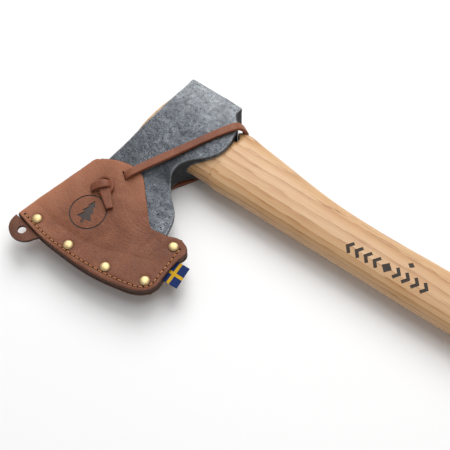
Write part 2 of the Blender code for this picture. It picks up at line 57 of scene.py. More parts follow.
# Head: (y at top edge, y at under edge, bow of the row, x top, x under, half thickness top, mid, under)
HEAD_ROWS = (
    (49.0, 49.0, 0.0, 3.8, 56.6, 13.4, 13.8, 13.4),
    (47.6, 47.6, 0.0, 2.4, 58.0, 14.8, 15.2, 14.8),
    (41.0, 41.0, 0.0, 2.1, 57.3, 15.0, 15.8, 15.0),
    (36.5, 36.5, 0.0, 1.9, 60.4, 15.3, 16.4, 15.2),
    (32.0, 32.0, 0.0, 1.7, 65.2, 15.6, 17.0, 15.5),
    (26.0, 26.0, 0.0, 1.4, 68.4, 16.0, 17.8, 16.0),
    (19.0, 19.0, 0.0, 0.9, 70.5, 16.4, 18.0, 16.6),
    (12.0, 12.0, 0.0, 0.6, 72.1, 16.6, 18.0, 17.0),
    (4.0, 4.0, 0.0, 0.4, 72.5, 16.6, 18.0, 17.2),
    (-2.0, -2.0, 0.0, 0.1, 71.4, 16.4, 18.0, 17.2),
    (-7.0, -7.0, 0.0, -0.4, 69.4, 16.0, 17.9, 17.0),
    (-12.3, -12.3, 0.0, -0.8, 65.8, 15.6, 17.6, 16.8),
    (-17.3, -17.3, 0.0, -1.2, 61.0, 15.0, 17.2, 16.4),
    (-23.2, -23.2, 0.0, -1.7, 54.7, 14.3, 16.5, 15.8),
    (-28.2, -28.2, 0.0, -2.3, 51.0, 13.4, 15.7, 15.0),
    (-33.8, -33.8, 0.0, -2.9, 48.8, 12.2, 14.7, 14.0),
    (-39.3, -39.3, 0.0, -3.7, 48.5, 11.0, 13.7, 12.0),
    (-44.4, -44.4, 0.0, -4.5, 50.2, 9.6, 12.8, 8.5),
    (-49.0, -49.0, 0.0, -5.3, 53.3, 8.6, 12.0, 5.2),
    (-54.0, -54.0, 0.0, -6.1, 57.7, 7.6, 11.2, 3.4),
    (-59.0, -59.0, 0.0, -6.9, 62.8, 6.8, 10.4, 2.8),
    (-65.0, -65.0, 0.0, -8.0, 69.8, 6.0, 9.6, 2.5),
    (-72.0, -72.0, 0.0, -9.7, 74.6, 5.2, 8.7, 2.4),
    (-80.5, -80.0, 0.5, -11.9, 77.5, 4.5, 7.7, 2.3),
    (-92.0, -90.0, 1.0, -14.7, 79.6, 3.8, 6.5, 2.2),
    (-104.0, -100.0, 2.5, -17.6, 80.5, 3.1, 5.1, 2.0),
    (-116.0, -108.0, 5.0, -20.4, 80.8, 2.4, 3.5, 1.8),
    (-127.0, -114.5, 8.5, -23.0, 80.8, 1.5, 1.9, 1.3),
    (-134.5, -120.0, 11.0, -24.6, 80.2, 0.2, 0.2, 0.2),
)
HEAD_STEPS = 7  # rings of points from one row to the next
HEAD_ROUND = 1.5  # radius of the worn edges
WALL_STEPS = 11  # points across the walls between the two cheeks
CHEEK_COLUMNS = 30
EDGE_DISTANCES = np.array((0.0, 0.12, 0.35, 0.7, 1.1, 1.6, 2.4, 3.6))  # of the columns next to an edge
ACROSS = np.array((0.0, 0.02, 0.07, 0.18, 0.32, 0.5, 0.68, 0.82, 0.93, 0.98, 1.0))  # as in the part
HAMMERED = ((0.42, 17.0, 1.0), (0.16, 6.0, 5.0), (0.07, 2.6, 9.0))  # depth, size and seed of the unevenness
DENTS = (  # x, y, radius, depth
    (54.5, 42.5, 4.5, 0.9), (47.0, 38.0, 5.0, 0.5), (12.0, -22.0, 9.0, 0.6),
    (30.0, -19.0, 7.0, 0.5), (6.0, 5.0, 6.0, 0.4), (26.0, 31.0, 6.0, 0.35),
)

# Handle: (x, y of upper edge, y of under edge, half thickness)
TENON = (22.6, -25.0, 12.4)
HANDLE_ROWS = (
    (73.2, *TENON),
    (73.8, 30.0, -25.1, 12.5),
    (75.0, 32.6, -25.3, 12.7),
    (77.6, 34.6, -25.8, 12.9),
    (83.0, 35.6, -26.4, 13.0),
    (90.0, 34.0, -26.0, 13.1),
    (103.0, 32.2, -25.3, 13.2),
    (120.0, 30.0, -25.0, 13.3),
    (145.0, 26.4, -24.7, 13.3),
    (175.0, 23.0, -24.2, 13.2),
    (205.0, 21.8, -23.6, 13.0),
    (240.0, 22.2, -23.2, 12.8),
    (280.0, 24.0, -22.8, 12.6),
    (330.0, 24.8, -21.4, 12.4),
    (390.0, 24.0, -19.0, 12.1),
    (450.0, 21.4, -17.6, 11.9),
    (510.0, 17.4, -18.6, 11.8),
    (565.0, 12.6, -22.4, 11.9),
    (610.0, 8.4, -27.6, 12.3),
    (640.0, 6.2, -32.6, 13.0),
    (664.0, 5.6, -38.4, 13.9),
    (680.0, 4.8, -42.4, 14.4),
    (692.0, 2.0, -43.6, 14.0),
    (697.0, -4.0, -39.6, 11.6),
)
HANDLE_SIDES = 96
OVAL_POWER = 2.3  # 2 is an ellipse, more is squarer
SHOULDER_LEAN = 7.0  # how far the upper side of the shoulder reaches up to the head
FLARE_END = 10.0  # the eye and the wood in it widen from here to the tenon's end
FLARE_UP, FLARE_DOWN = 7.4, 1.2
WOOD_WEDGE = ((39.0, 3.6, 42.0), True, -1.2)  # (long, thick, deep), whether it lies along Y, its middle's y
STEEL_WEDGE = ((15.0, 2.4, 20.0), False, 6.6)
WOOD_PROUD, STEEL_PROUD, SLOT_PROUD = 0.5, 0.7, 3.0  # how far they stand out of the tenon's end
MARK_LINE = ((208.0, -10.7), (283.5, -6.2))  # the burnt marks run between these points
MARK_DEPTH = 0.35

# Sheath
LEATHER = 3.2
WELT = 3.2
GAP = 0.3
POCKET_PLAY = 0.9
FOLD_DIRECTION = (-0.2347, -0.9721)
MOUTH = (
    (-14.4, -68.6), (-10.6, -65.2), (-6.2, -62.2), (1.0, -59.0), (9.0, -57.0), (20.0, -56.2),
    (30.0, -58.8), (36.4, -63.8), (42.6, -70.2), (49.3, -76.8), (55.6, -83.2), (61.6, -89.2),
    (67.0, -92.2), (75.0, -90.8), (82.0, -89.4), (88.0, -86.4), (93.5, -85.4),
)
FOLD = ((-14.4, -68.6), (-19.2, -89.0), (-23.1, -105.4), (-28.1, -126.4), (-32.3, -147.1))
SEAM_BOTTOM = (
    (-32.3, -147.1), (-18.6, -150.3), (-1.0, -153.2), (19.0, -154.4), (41.0, -154.6),
    (61.0, -152.8), (79.0, -149.0), (88.0, -146.4), (95.4, -142.4), (100.9, -136.9),
)
SEAM_SIDE = (
    (93.5, -85.4), (99.6, -87.6), (103.4, -91.4), (104.2, -96.0), (102.6, -102.0),
    (102.0, -112.0), (102.6, -122.0), (103.0, -130.0), (100.9, -136.9),
)
FOLD_SHARE = 0.045  # of the panel's width, taken by the round of the fold
FOLD_STEPS = 9
PANEL_ACROSS = 132
PANEL_DOWN = 112
RIM_LAYERS = (0.1, 0.3, 0.5, 0.7, 0.9)  # rows of points on the cut edge, as shares of its thickness
RIVETS = ((-17.2, -142.0), (20.5, -145.4), (58.5, -142.9), (92.7, -133.4), (92.0, -94.4))
STITCH_LINE = (
    (-28.4, -144.6), (-13.5, -147.8), (1.7, -149.8), (20.0, -150.6), (33.0, -150.4), (48.6, -149.3),
    (63.9, -147.5), (77.8, -145.0), (91.2, -141.2), (97.4, -136.2), (99.2, -130.4), (98.6, -120.0),
    (98.4, -109.5), (97.9, -99.0), (97.7, -93.0),
)
STITCH = 4.7
STITCH_ARCH = (  # share of a stitch, height over the leather
    (0.16, -1.0), (0.19, -0.3), (0.26, 0.15), (0.37, 0.36), (0.5, 0.42), (0.63, 0.36), (0.74, 0.15),
    (0.81, -0.3), (0.84, -1.0),
)
RIVET_PROFILE = (  # radius, height over the seat
    (0.0, 1.75), (0.9, 1.73), (1.8, 1.65), (2.6, 1.5), (3.2, 1.26), (3.7, 0.92), (4.08, 0.5), (4.3, 0.1),
    (4.36, -0.15), (4.25, -0.4), (3.9, -0.55), (1.4, -0.6),
)
TAG = ((98.8, -101.8), (113.9, -100.8), (116.1, -121.5), (99.0, -122.4))
TAG_BARS = (  # a point on the bar's middle line, the line's normal, half width
    ((106.4, -111.6), (0.998, 0.06), 1.35), ((107.0, -112.4), (-0.04, 0.999), 1.45),
)
EMBLEM = (14.4, -112.2)
EMBLEM_TURN = math.radians(7.7)
EMBLEM_RADIUS = 15.8
SPRUCE = (  # place along the trunk, width
    (11.4, 0.4), (8.4, 3.6), (5.4, 6.8), (5.1, 3.4), (2.2, 7.2), (-0.7, 10.8), (-1.0, 5.6), (-4.0, 10.0),
    (-7.0, 14.2), (-7.3, 2.2), (-9.2, 2.2), (-11.2, 2.2),
)

# Lace
LACE_WIDTH = 6.5
LACE_THICKNESS = 2.8
LACE_SLIT = (18.6, -70.0)
LACE_ANGLE = math.radians(63.5)
LACE_PATH = (  # distance from the slit along the lace's line, height
    (2.4, 9.4), (2.5, 12.0), (3.6, 14.2), (6.4, 15.6), (11.0, 16.5), (30.0, 17.6), (52.0, 19.0),
    (62.0, 19.6), (70.0, 19.7), (82.0, 19.7), (94.0, 19.7), (102.0, 19.6), (107.0, 19.0),
    (110.2, 17.6), (112.7, 15.2), (114.8, 12.0), (116.6, 8.4), (118.0, 4.6),
)
LACE_BOW = 8.5  # sideways sag of the leg that runs under the head
KNOT_CENTRE = (10.8, -84.6, 0.0)
KNOT_RING = (  # x, y, height over the leather
    (3.0, -87.4, 1.0), (3.3, -83.0, 1.5), (5.6, -79.2, 2.1), (9.8, -77.9, 2.4), (14.2, -79.9, 2.3),
    (17.6, -83.6, 2.0), (18.4, -88.2, 1.6), (15.6, -91.8, 1.2), (11.0, -92.8, 0.8),
)
KNOT_ROLL = (
    (3.0, -93.4, 0.9), (4.2, -92.2, 3.4), (6.4, -90.1, 5.2), (9.4, -87.2, 5.9), (12.2, -84.4, 5.1),
    (13.9, -82.7, 3.0), (14.4, -82.2, 0.8),
)
KNOT_TAIL = (
    (9.4, -85.2, 2.4), (12.0, -87.2, 2.8), (15.4, -90.0, 2.4), (19.8, -93.5, 2.0), (24.4, -97.1, 1.8),
    (28.4, -100.2, 2.1),
)

# Studio, in metres and degrees but for the aim
FLOOR = 6.0
LAMPS = (("key", (-0.6, 1.0, 1.25), 1.4, 23.5), ("top", (0.15, 0.35, 1.7), 1.3, 10.0))  # offset, size, watts
CAMERA_ANGLES = (36.8, 60.0)  # azimuth, elevation
CAMERA_AIM = (112.04, -49.68)
CAMERA_DISTANCE = 0.9


# ---- numbers and meshes


def through(points, steps):
    """Catmull-Rom points through a list of points, with a number of steps a span."""
    known = np.array(points, float)
    known = np.vstack([2 * known[0] - known[1], known, 2 * known[-1] - known[-2]])
    t = (np.arange(steps) / steps)[:, None]
    spans = []
    for a, b, c, d in zip(known, known[1:], known[2:], known[3:]):
        cubic = 3 * b - a - 3 * c + d
        spans.append(0.5 * (2 * b + (c - a) * t + (2 * a - 5 * b + 4 * c - d) * t**2 + cubic * t**3))
    return np.vstack([*spans, known[-2:-1]])


def lengths_along(points):
    return np.concatenate([[0.0], np.cumsum(np.linalg.norm(np.diff(points, axis=0), axis=1))])


def evenly(points, count):
    """The same line with a number of points at even distances."""
    reach = lengths_along(points)
    at = np.linspace(0, reach[-1], count)
    return np.stack([np.interp(at, reach, points[:, k]) for k in range(points.shape[1])], 1)


def unit(vectors):
    return vectors / np.maximum(np.linalg.norm(vectors, axis=-1, keepdims=True), 1e-9)


def smoothstep(value, low, high):
    t = np.clip((value - low) / (high - low), 0, 1)
    return t * t * (3 - 2 * t)


def distance_to_line(x, y, line):
    """Distance in plan from points to a polyline."""
    best = np.full(np.shape(x), 1e9)
    for (ax, ay), (bx, by) in zip(line, line[1:]):
        dx, dy = bx - ax, by - ay
        t = np.clip(((x - ax) * dx + (y - ay) * dy) / (dx * dx + dy * dy), 0, 1)
        best = np.minimum(best, np.hypot(x - ax - t * dx, y - ay - t * dy))
    return best


def fractal(points, scale, octaves=3, seed=0.0):
    """Smooth noise of points in millimetres, with features of about the given size, near -1 to 1."""
    shift = Vector((seed, 2.3 * seed, -1.7 * seed))
    return np.array([noise.fractal(Vector(p) / scale + shift, 0.9, 2.1, octaves) for p in points])


def around(count):
    return 2 * math.pi * np.arange(count) / count


def squared_oval(turn, power):
    """The two coordinates of an oval of half width 1, which is squarer the higher its power is."""
    c, s = np.cos(turn), np.sin(turn)
    return np.sign(c) * np.abs(c) ** (2 / power), np.sign(s) * np.abs(s) ** (2 / power)


def grid_faces(rows, columns, start=0):
    faces = []
    for r in range(rows - 1):
        for c in range(columns - 1):
            a = start + r * columns + c
            faces.append((a, a + columns, a + columns + 1, a + 1))
    return faces


def grid_outline(rows, columns):
    """The row and column of each point around a grid."""
    return ([(0, c) for c in range(columns)] + [(r, columns - 1) for r in range(1, rows)]
            + [(rows - 1, c) for c in range(columns - 2, -1, -1)] + [(r, 0) for r in range(rows - 2, 0, -1)])


def ring_faces(rings, count):
    """The faces between a number of rings, which have count points each."""
    faces = []
    for r in range(rings - 1):
        for k in range(count):
            a, b = r * count + k, r * count + (k + 1) % count
            faces.append((a, b, b + count, a + count))
    return faces


def tube_through(rings):
    """A closed mesh through rings of the same number of points."""
    sides = len(rings[0])
    last = (len(rings) - 1) * sides
    ends = [tuple(range(sides))[::-1], tuple(last + k for k in range(sides))]
    return np.vstack(rings), ring_faces(len(rings), sides) + ends


def clean(mesh, merge=0.0, flat=0.0):
    """Joins points less than merge metres apart, drops edges flatter than flat and turns faces outwards."""
    bm = bmesh.new()
    bm.from_mesh(mesh)
    if merge:
        bmesh.ops.remove_doubles(bm, verts=bm.verts, dist=merge)
    if flat:
        bmesh.ops.dissolve_limit(bm, angle_limit=flat, verts=bm.verts, edges=bm.edges)
    bmesh.ops.recalc_face_normals(bm, faces=bm.faces)
    bm.to_mesh(mesh)
    bm.free()


def linked(name, data):
    """A new object in the scene."""
    made = bpy.data.objects.new(name, data)
    bpy.context.scene.collection.objects.link(made)
    return made


def piece(name, points, faces, body, material, nodes=(), sharp=38.0):
    """A mesh piece from points in millimetres, which rides on a body and stands for CAD nodes."""
    mesh = bpy.data.meshes.new(name)
    places = np.asarray(points, float) * MM + np.array(EYE)
    mesh.from_pydata(places.tolist(), [], faces)
    clean(mesh)
    made = linked(name, mesh)
    mesh.shade_smooth()
    mesh.set_sharp_from_angle(angle=math.radians(sharp))
    if material:
        mesh.materials.append(material)
    if body:
        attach(made, body)
        if nodes:
            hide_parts(*nodes)
    return made


def joined(shapes):
    """Several shapes, each points and faces, as one."""
    points, faces, count = [], [], 0
    for shape_points, shape_faces in shapes:
        points.append(np.asarray(shape_points, float))
        faces += [tuple(count + i for i in face) for face in shape_faces]
        count += len(shape_points)
    return np.vstack(points), faces


def sweep(centres, across, widths, thicks, power=4.0, sides=20, tip=0.5):
    """A flat or round strand along centres. Its section is a squared oval, and its tips are rounded."""
    centres = np.asarray(centres, float)
    ahead = unit(np.gradient(centres, axis=0))
    across = np.broadcast_to(np.asarray(across, float), centres.shape)
    across = unit(across - ahead * np.sum(across * ahead, axis=1, keepdims=True))
    up = np.cross(across, ahead)
    widths = np.broadcast_to(np.asarray(widths, float), len(centres))
    thicks = np.broadcast_to(np.asarray(thicks, float), len(centres))
    stations = [(centres[0] - ahead[0] * tip, 0, 0.55), (centres[0] - ahead[0] * tip * 0.6, 0, 0.86)]
    stations += [(centre, i, 1.0) for i, centre in enumerate(centres)]
    last = len(centres) - 1
    stations += [(centres[-1] + ahead[-1] * tip * 0.6, last, 0.86)]
    stations += [(centres[-1] + ahead[-1] * tip, last, 0.55)]
    wide, high = squared_oval(around(sides), power)
    rings = []
    for centre, i, share in stations:
        inset = (1 - share) * min(widths[i], thicks[i]) / 2
        half_wide, half_high = widths[i] / 2 - inset, thicks[i] / 2 - inset
        rings.append(centre + np.outer(wide * half_wide, across[i]) + np.outer(high * half_high, up[i]))
    return tube_through(rings)


def ribbon(path, width, height, depth, closed=False, lanes=3):
    """A cutter along a path in plan, whose floor lies a depth below a surface and whose roof is above it."""
    lift = 1.6
    path = np.asarray(path, float)
    widths = np.broadcast_to(np.asarray(width, float), len(path))
    before, after = (path[-1], path[0]) if closed else (2 * path[0] - path[1], 2 * path[-1] - path[-2])
    steps = unit(np.diff(np.vstack([before, path, after]), axis=0))
    normals = np.stack([-steps[:, 1], steps[:, 0]], 1)
    mitre = unit(normals[:-1] + normals[1:])
    stretch = 1 / np.maximum(np.sum(mitre * normals[:-1], axis=1), 0.3)
    points, faces = [], []
    for (x, y), (nx, ny), wide in zip(path, mitre, widths * stretch):
        for lane in np.linspace(-0.5, 0.5, lanes):
            px, py = x + nx * wide * lane, y + ny * wide * lane
            level = height(px, py)
            points += [(px, py, level - depth), (px, py, level + lift)]
    count, row = len(path), 2 * lanes
    for r in range(count if closed else count - 1):
        here, there = r * row, ((r + 1) % count) * row
        for lane in range(lanes - 1):
            low, high = 2 * lane, 2 * lane + 2
            faces.append((here + low, there + low, there + high, here + high))
            faces.append((here + low + 1, here + high + 1, there + high + 1, there + low + 1))
        faces.append((here, here + 1, there + 1, there))
        faces.append((here + row - 2, there + row - 2, there + row - 1, here + row - 1))
    if not closed:
        for start in (0, (count - 1) * row):
            for lane in range(lanes - 1):
                low = start + 2 * lane
                faces.append((low, low + 2, low + 3, low + 1))
    return points, faces


def upright(x, y, radius, low, high, sides):
    """An upright round cutter."""
    return tube_through([[(x + radius * math.cos(a), y + radius * math.sin(a), z) for a in around(sides)]
                         for z in (low, high)])


def apply_steps(item, sharp):
    """Gives a piece the mesh that its modifiers make."""
    final = bpy.data.meshes.new_from_object(item.evaluated_get(bpy.context.evaluated_depsgraph_get()))
    item.modifiers.clear()
    item.data = final
    final.shade_smooth()
    final.set_sharp_from_angle(angle=math.radians(sharp))


def carved(item, shapes, material):
    """Cuts shapes out of a piece. The cut faces take the material."""
    points, faces = joined(shapes)
    cutter = piece("cutter", points, faces, None, material)
    step = item.modifiers.new("carve", "BOOLEAN")
    step.operation = "DIFFERENCE"
    step.solver = "EXACT"
    step.material_mode = "TRANSFER"
    step.object = cutter
    apply_steps(item, 38)
    bpy.data.objects.remove(cutter, do_unlink=True)


def store(item, name, values):
    layer = item.data.attributes.get(name) or item.data.attributes.new(name, "FLOAT", "POINT")
    layer.data.foreach_set("value", np.asarray(values, np.float32))


def store_skin(item, rim=0.0, painted_highlight=0.0, painted_shade=0.0):
    """Stores what leather reads of its points: 1 on a cut edge, 1 where a highlight is painted, 1 where shade
    is painted.
    """
    for name, values in (("rim", rim), ("painted_highlight", painted_highlight), ("painted_shade", painted_shade)):
        store(item, name, np.zeros(len(item.data.vertices)) + values)


def places_of(item):
    """A piece's points in millimetres."""
    found = np.empty(len(item.data.vertices) * 3)
    item.data.vertices.foreach_get("co", found)
    return (found.reshape(-1, 3) - np.array(EYE)) / MM


def move_points(item, places):
    """Puts a piece's points at places in millimetres."""
    item.data.vertices.foreach_set("co", (places * MM + np.array(EYE)).ravel())
    item.data.update()


def normals_of(item):
    found = np.empty(len(item.data.vertices) * 3)
    item.data.vertex_normals.foreach_get("vector", found)
    return found.reshape(-1, 3)


def store_edges(item, reach):
    """Stores how far each point is on an outer edge, 0 to 1, as the attribute edge."""
    places, normals = places_of(item), normals_of(item)
    ends = np.empty(len(item.data.edges) * 2, int)
    item.data.edges.foreach_get("vertices", ends)
    a, b = ends.reshape(-1, 2).T
    step = places[b] - places[a]
    size = np.maximum(np.linalg.norm(step, axis=1), 0.05)
    bend = np.sum((normals[b] - normals[a]) * step, axis=1) / size**2
    most = np.zeros(len(places))
    np.maximum.at(most, a, bend)
    np.maximum.at(most, b, bend)
    store(item, "edge", np.clip(most * reach, 0, 1))


def height_over(item):
    """The height of a piece's upper surface over a plan place, in millimetres."""
    places = places_of(item)
    tree = BVHTree.FromPolygons([tuple(p) for p in places], [tuple(f.vertices) for f in item.data.polygons])

    def height(x, y, side=1):
        hit = tree.ray_cast(Vector((x, y, 60.0 * side)), Vector((0.0, 0.0, -side)))[0]
        return hit.z if hit else 0.0

    return height


# ---- materials


def tone(red, green, blue):
    """A linear colour from screen values of 0 to 255."""
    return tuple((v / 12.92 if v <= 0.04045 else ((v + 0.055) / 1.055) ** 2.4)
                 for v in (red / 255, green / 255, blue / 255)) + (1.0,)


def scaled(colour, share):
    """A linear colour from screen values that are made lighter or darker."""
    return tone(*(min(255, value * share) for value in colour))


class Surface:
    """A Principled material put together from noises, ramps and mixes in the object's own space."""

    def __init__(self, name, **sockets):
        self.material = bpy.data.materials.new(name)
        self.material.use_nodes = True
        self.tree = self.material.node_tree
        self.shader = self.tree.nodes["Principled BSDF"]
        self.space = self.node("ShaderNodeTexCoord").outputs["Object"]
        for socket, value in sockets.items():
            self.shader.inputs[socket.replace("_", " ")].default_value = value

    def node(self, kind, values=None, **settings):
        made = self.tree.nodes.new(kind)
        for key, value in settings.items():
            setattr(made, key, value)
        for key, value in (values or {}).items():
            if isinstance(value, bpy.types.NodeSocket):
                self.tree.links.new(value, made.inputs[key])
            else:
                made.inputs[key].default_value = value
        return made

    def set(self, socket, value):
        self.tree.links.new(value, self.shader.inputs[socket])

    def stretched(self, scale=(1, 1, 1), turn=(0, 0, 0), move=(0, 0, 0)):
        values = {"Vector": self.space, "Scale": scale, "Rotation": turn, "Location": move}
        return self.node("ShaderNodeMapping", values).outputs[0]

    def noise(self, scale, detail=3.0, rough=0.5, space=None, distortion=0.0):
        values = {"Vector": space or self.space, "Scale": scale, "Detail": detail, "Roughness": rough,
                  "Distortion": distortion}
        return self.node("ShaderNodeTexNoise", values).outputs["Fac"]

    def cells(self, scale, space=None):
        values = {"Vector": space or self.space, "Scale": scale}
        return self.node("ShaderNodeTexVoronoi", values).outputs["Distance"]

    def ramp(self, value, *stops):
        made = self.node("ShaderNodeValToRGB", {0: value})
        points = made.color_ramp.elements
        while len(points) < len(stops):
            points.new(0.5)
        for point, (where, colour) in zip(points, stops):
            point.position = where
            point.color = colour if isinstance(colour, tuple) else (colour, colour, colour, 1.0)
        return made.outputs["Color"]

    def mix(self, share, a, b):
        made = self.node("ShaderNodeMix", data_type="RGBA")
        for index, value in ((0, share), (6, a), (7, b)):
            if isinstance(value, bpy.types.NodeSocket):
                self.tree.links.new(value, made.inputs[index])
            else:
                made.inputs[index].default_value = value
        return made.outputs[2]

    def math(self, operation, a, b=0.0, clamp=False):
        return self.node("ShaderNodeMath", {0: a, 1: b}, operation=operation, use_clamp=clamp).outputs[0]

    def attribute(self, name):
        return self.node("ShaderNodeAttribute", attribute_name=name).outputs["Fac"]

    def bump(self, height, strength, distance):
        values = {"Height": height, "Strength": strength, "Distance": distance}
        return self.node("ShaderNodeBump", values).outputs[0]


def forged_steel():
    s = Surface("forged_steel", Metallic=0.75, Roughness=0.45)
    cloud = s.noise(26, 4, 0.55)
    mottle = s.noise(190, 5, 0.65, distortion=0.6)
    y = s.node("ShaderNodeSeparateXYZ", {0: s.space}).outputs["Y"]
    base = s.ramp(mottle, (0.3, tone(46, 50, 56)), (0.47, tone(80, 84, 90)), (0.62, tone(104, 108, 113)),
                  (0.74, tone(134, 137, 141)))
    base = s.mix(s.ramp(cloud, (0.38, 0.0), (0.62, 0.5)), base, tone(88, 92, 98))
    heel = s.ramp(s.math("MULTIPLY_ADD", y, 8.0, clamp=True), (0.0, 1.0), (0.3, 0.0))
    base = s.mix(s.math("MULTIPLY", heel, 0.5), base, tone(52, 55, 60))
    # painted highlight: the steel's colour turns lighter towards the poll
    poll_highlight = s.ramp(s.math("MULTIPLY", y, 8.0, clamp=True), (0.5, 0.0), (0.8, 1.0))
    base = s.mix(s.math("MULTIPLY", poll_highlight, 0.62), base, s.ramp(mottle, (0.3, tone(112, 116, 121)),
                                                                     (0.7, tone(160, 164, 167))))
    pits = s.ramp(s.cells(330), (0.06, 1.0), (0.2, 0.0))
    rare = s.ramp(s.noise(60, 2), (0.48, 0.0), (0.6, 1.0))
    pitted = s.math("MULTIPLY", pits, rare)
    base = s.mix(s.math("MULTIPLY", pitted, 0.75), base, tone(34, 37, 42))
    flecks = s.ramp(s.noise(900, 2, 0.7), (0.66, 0.0), (0.74, 1.0))
    base = s.mix(s.math("MULTIPLY", flecks, 0.45), base, tone(196, 200, 203))
    # painted shade: the walls between the cheeks are coloured darker, and made less metallic and rougher
    shaded_wall = s.attribute("shaded_wall")
    base = s.mix(shaded_wall, base, s.ramp(mottle, (0.3, tone(22, 24, 27)), (0.7, tone(46, 49, 54))))
    # lighter on the convex edges: partly real rubbed wear, partly a painted highlight
    worn = s.math("MULTIPLY", s.attribute("edge"), s.math("ADD", s.noise(300, 2), 0.5))
    base = s.mix(s.math("MULTIPLY", s.ramp(worn, (0.4, 0.0), (0.8, 1.0)), 0.35), base, tone(180, 184, 188))
    s.set("Base Color", base)
    s.set("Metallic", s.math("MULTIPLY", s.math("SUBTRACT", 1.0, shaded_wall), 0.7))
    uneven = s.ramp(s.noise(70, 4, 0.6), (0.3, 0.36), (0.7, 0.6))
    s.set("Roughness", s.mix(shaded_wall, uneven, (0.7, 0.7, 0.7, 1.0)))
    relief = s.math("SUBTRACT", s.math("ADD", mottle, s.math("MULTIPLY", s.noise(650, 3, 0.6), 0.45)), pitted)
    s.set("Normal", s.bump(relief, 0.75, 0.0014))
    return s.material


def ash_wood():
    s = Surface("ash_wood", Roughness=0.42)
    along = s.stretched(scale=(0.05, 1.0, 1.0), turn=(0.0, 0.0, math.radians(1.5)), move=(0.0, -0.02, 0.062))
    rings = s.node("ShaderNodeTexWave", {"Vector": along, "Scale": 88.0, "Distortion": 2.4, "Detail": 2.5,
                                         "Detail Scale": 9.0, "Detail Roughness": 0.45},
                   wave_type="RINGS", rings_direction="X", wave_profile="SAW").outputs["Fac"]
    fibre_space = s.stretched(scale=(0.022, 1.0, 1.0))
    fibres = s.noise(1500, 3, 0.6, space=fibre_space)
    streaks = s.noise(260, 3, 0.55, space=fibre_space)
    base = s.ramp(rings, (0.0, tone(216, 179, 137)), (0.5, tone(206, 165, 119)), (0.84, tone(182, 133, 84)),
                  (0.96, tone(142, 90, 48)), (1.0, tone(208, 169, 126)))
    base = s.mix(s.ramp(streaks, (0.3, 0.0), (0.75, 0.5)), base, tone(190, 139, 86))
    base = s.mix(s.ramp(fibres, (0.35, 0.0), (0.8, 0.5)), base, tone(170, 118, 68))
    broad = s.noise(16, 2)
    base = s.mix(s.ramp(broad, (0.35, 0.0), (0.7, 0.35)), base, tone(216, 183, 143))
    s.set("Base Color", base)
    s.set("Roughness", s.ramp(streaks, (0.3, 0.36), (0.8, 0.52)))
    s.set("Normal", s.bump(s.math("ADD", fibres, s.math("MULTIPLY", rings, 0.35)), 0.35, 0.0004))
    return s.material


def end_grain():
    s = Surface("end_grain", Roughness=0.6)
    pores = s.cells(900)
    base = s.ramp(s.noise(320, 3), (0.3, tone(226, 186, 140)), (0.7, tone(196, 148, 100)))
    base = s.mix(s.ramp(pores, (0.1, 0.6), (0.35, 0.0)), base, tone(140, 96, 60))
    s.set("Base Color", base)
    s.set("Normal", s.bump(pores, 0.3, 0.0004))
    return s.material


def leather(name, dark, middle, light, grain=1.0, edge=(78, 52, 38)):
    s = Surface(name, Roughness=0.55, Specular_IOR_Level=0.28)
    cloud = s.noise(24, 4, 0.6, distortion=0.4)
    mottle = s.noise(210, 4, 0.6)
    base = s.ramp(cloud, (0.34, tone(*dark)), (0.5, tone(*middle)), (0.68, tone(*light)))
    base = s.mix(s.ramp(mottle, (0.3, 0.0), (0.75, 0.4)), base, tone(*light))
    base = s.mix(s.ramp(s.noise(900, 4, 0.7), (0.36, 0.55), (0.56, 0.0)), base, tone(*dark))
    # painted highlight: lighter along the fold's round and the mouth
    base = s.mix(s.math("MULTIPLY", s.attribute("painted_highlight"), 0.8), base, scaled(light, 1.18))
    # painted shade: darker in the stitch groove, round the rivets and towards the panel's right
    base = s.mix(s.math("MULTIPLY", s.attribute("painted_shade"), 0.8), base, scaled(dark, 0.7))
    rim = s.attribute("rim")
    fibres = s.noise(1600, 3, 0.7)
    cut = s.ramp(fibres, (0.3, tone(*edge)), (0.7, scaled(edge, 1.5)))
    base = s.mix(s.math("MULTIPLY", rim, 0.95), base, cut)
    s.set("Base Color", base)
    s.set("Roughness", s.ramp(mottle, (0.3, 0.46), (0.7, 0.66)))
    skin_space = s.stretched(scale=(0.72, 1.3, 1.0), turn=(0.0, 0.0, math.radians(20)))
    pebble = s.cells(820, space=skin_space)
    wrinkle = s.noise(330, 5, 0.65, space=skin_space, distortion=1.2)
    relief = s.math("ADD", s.math("MULTIPLY", pebble, 0.55), wrinkle)
    rough_cut = s.math("MULTIPLY", s.math("MULTIPLY", rim, fibres), 0.9)
    s.set("Normal", s.bump(s.math("ADD", relief, rough_cut), 0.42 * grain, 0.0009))
    return s.material


def pressed_and_shaded_leather():
    s = Surface("pressed_and_shaded_leather", Roughness=0.5)
    # darker cut faces of the stamp, the slit and the stitch holes: partly the real darkening of pressed
    # leather, partly painted shade in these hollows
    s.set("Base Color", s.ramp(s.noise(800, 3), (0.3, tone(38, 26, 21)), (0.7, tone(62, 43, 34))))
    s.set("Normal", s.bump(s.noise(1500, 3), 0.3, 0.0004))
    return s.material


def burnt_wood():
    s = Surface("burnt_wood", Roughness=0.7)
    grain = s.noise(900, 3, 0.6, space=s.stretched(scale=(0.05, 1, 1)))
    s.set("Base Color", s.ramp(grain, (0.3, tone(36, 29, 24)), (0.75, tone(66, 52, 42))))
    s.set("Normal", s.bump(grain, 0.4, 0.0004))
    return s.material


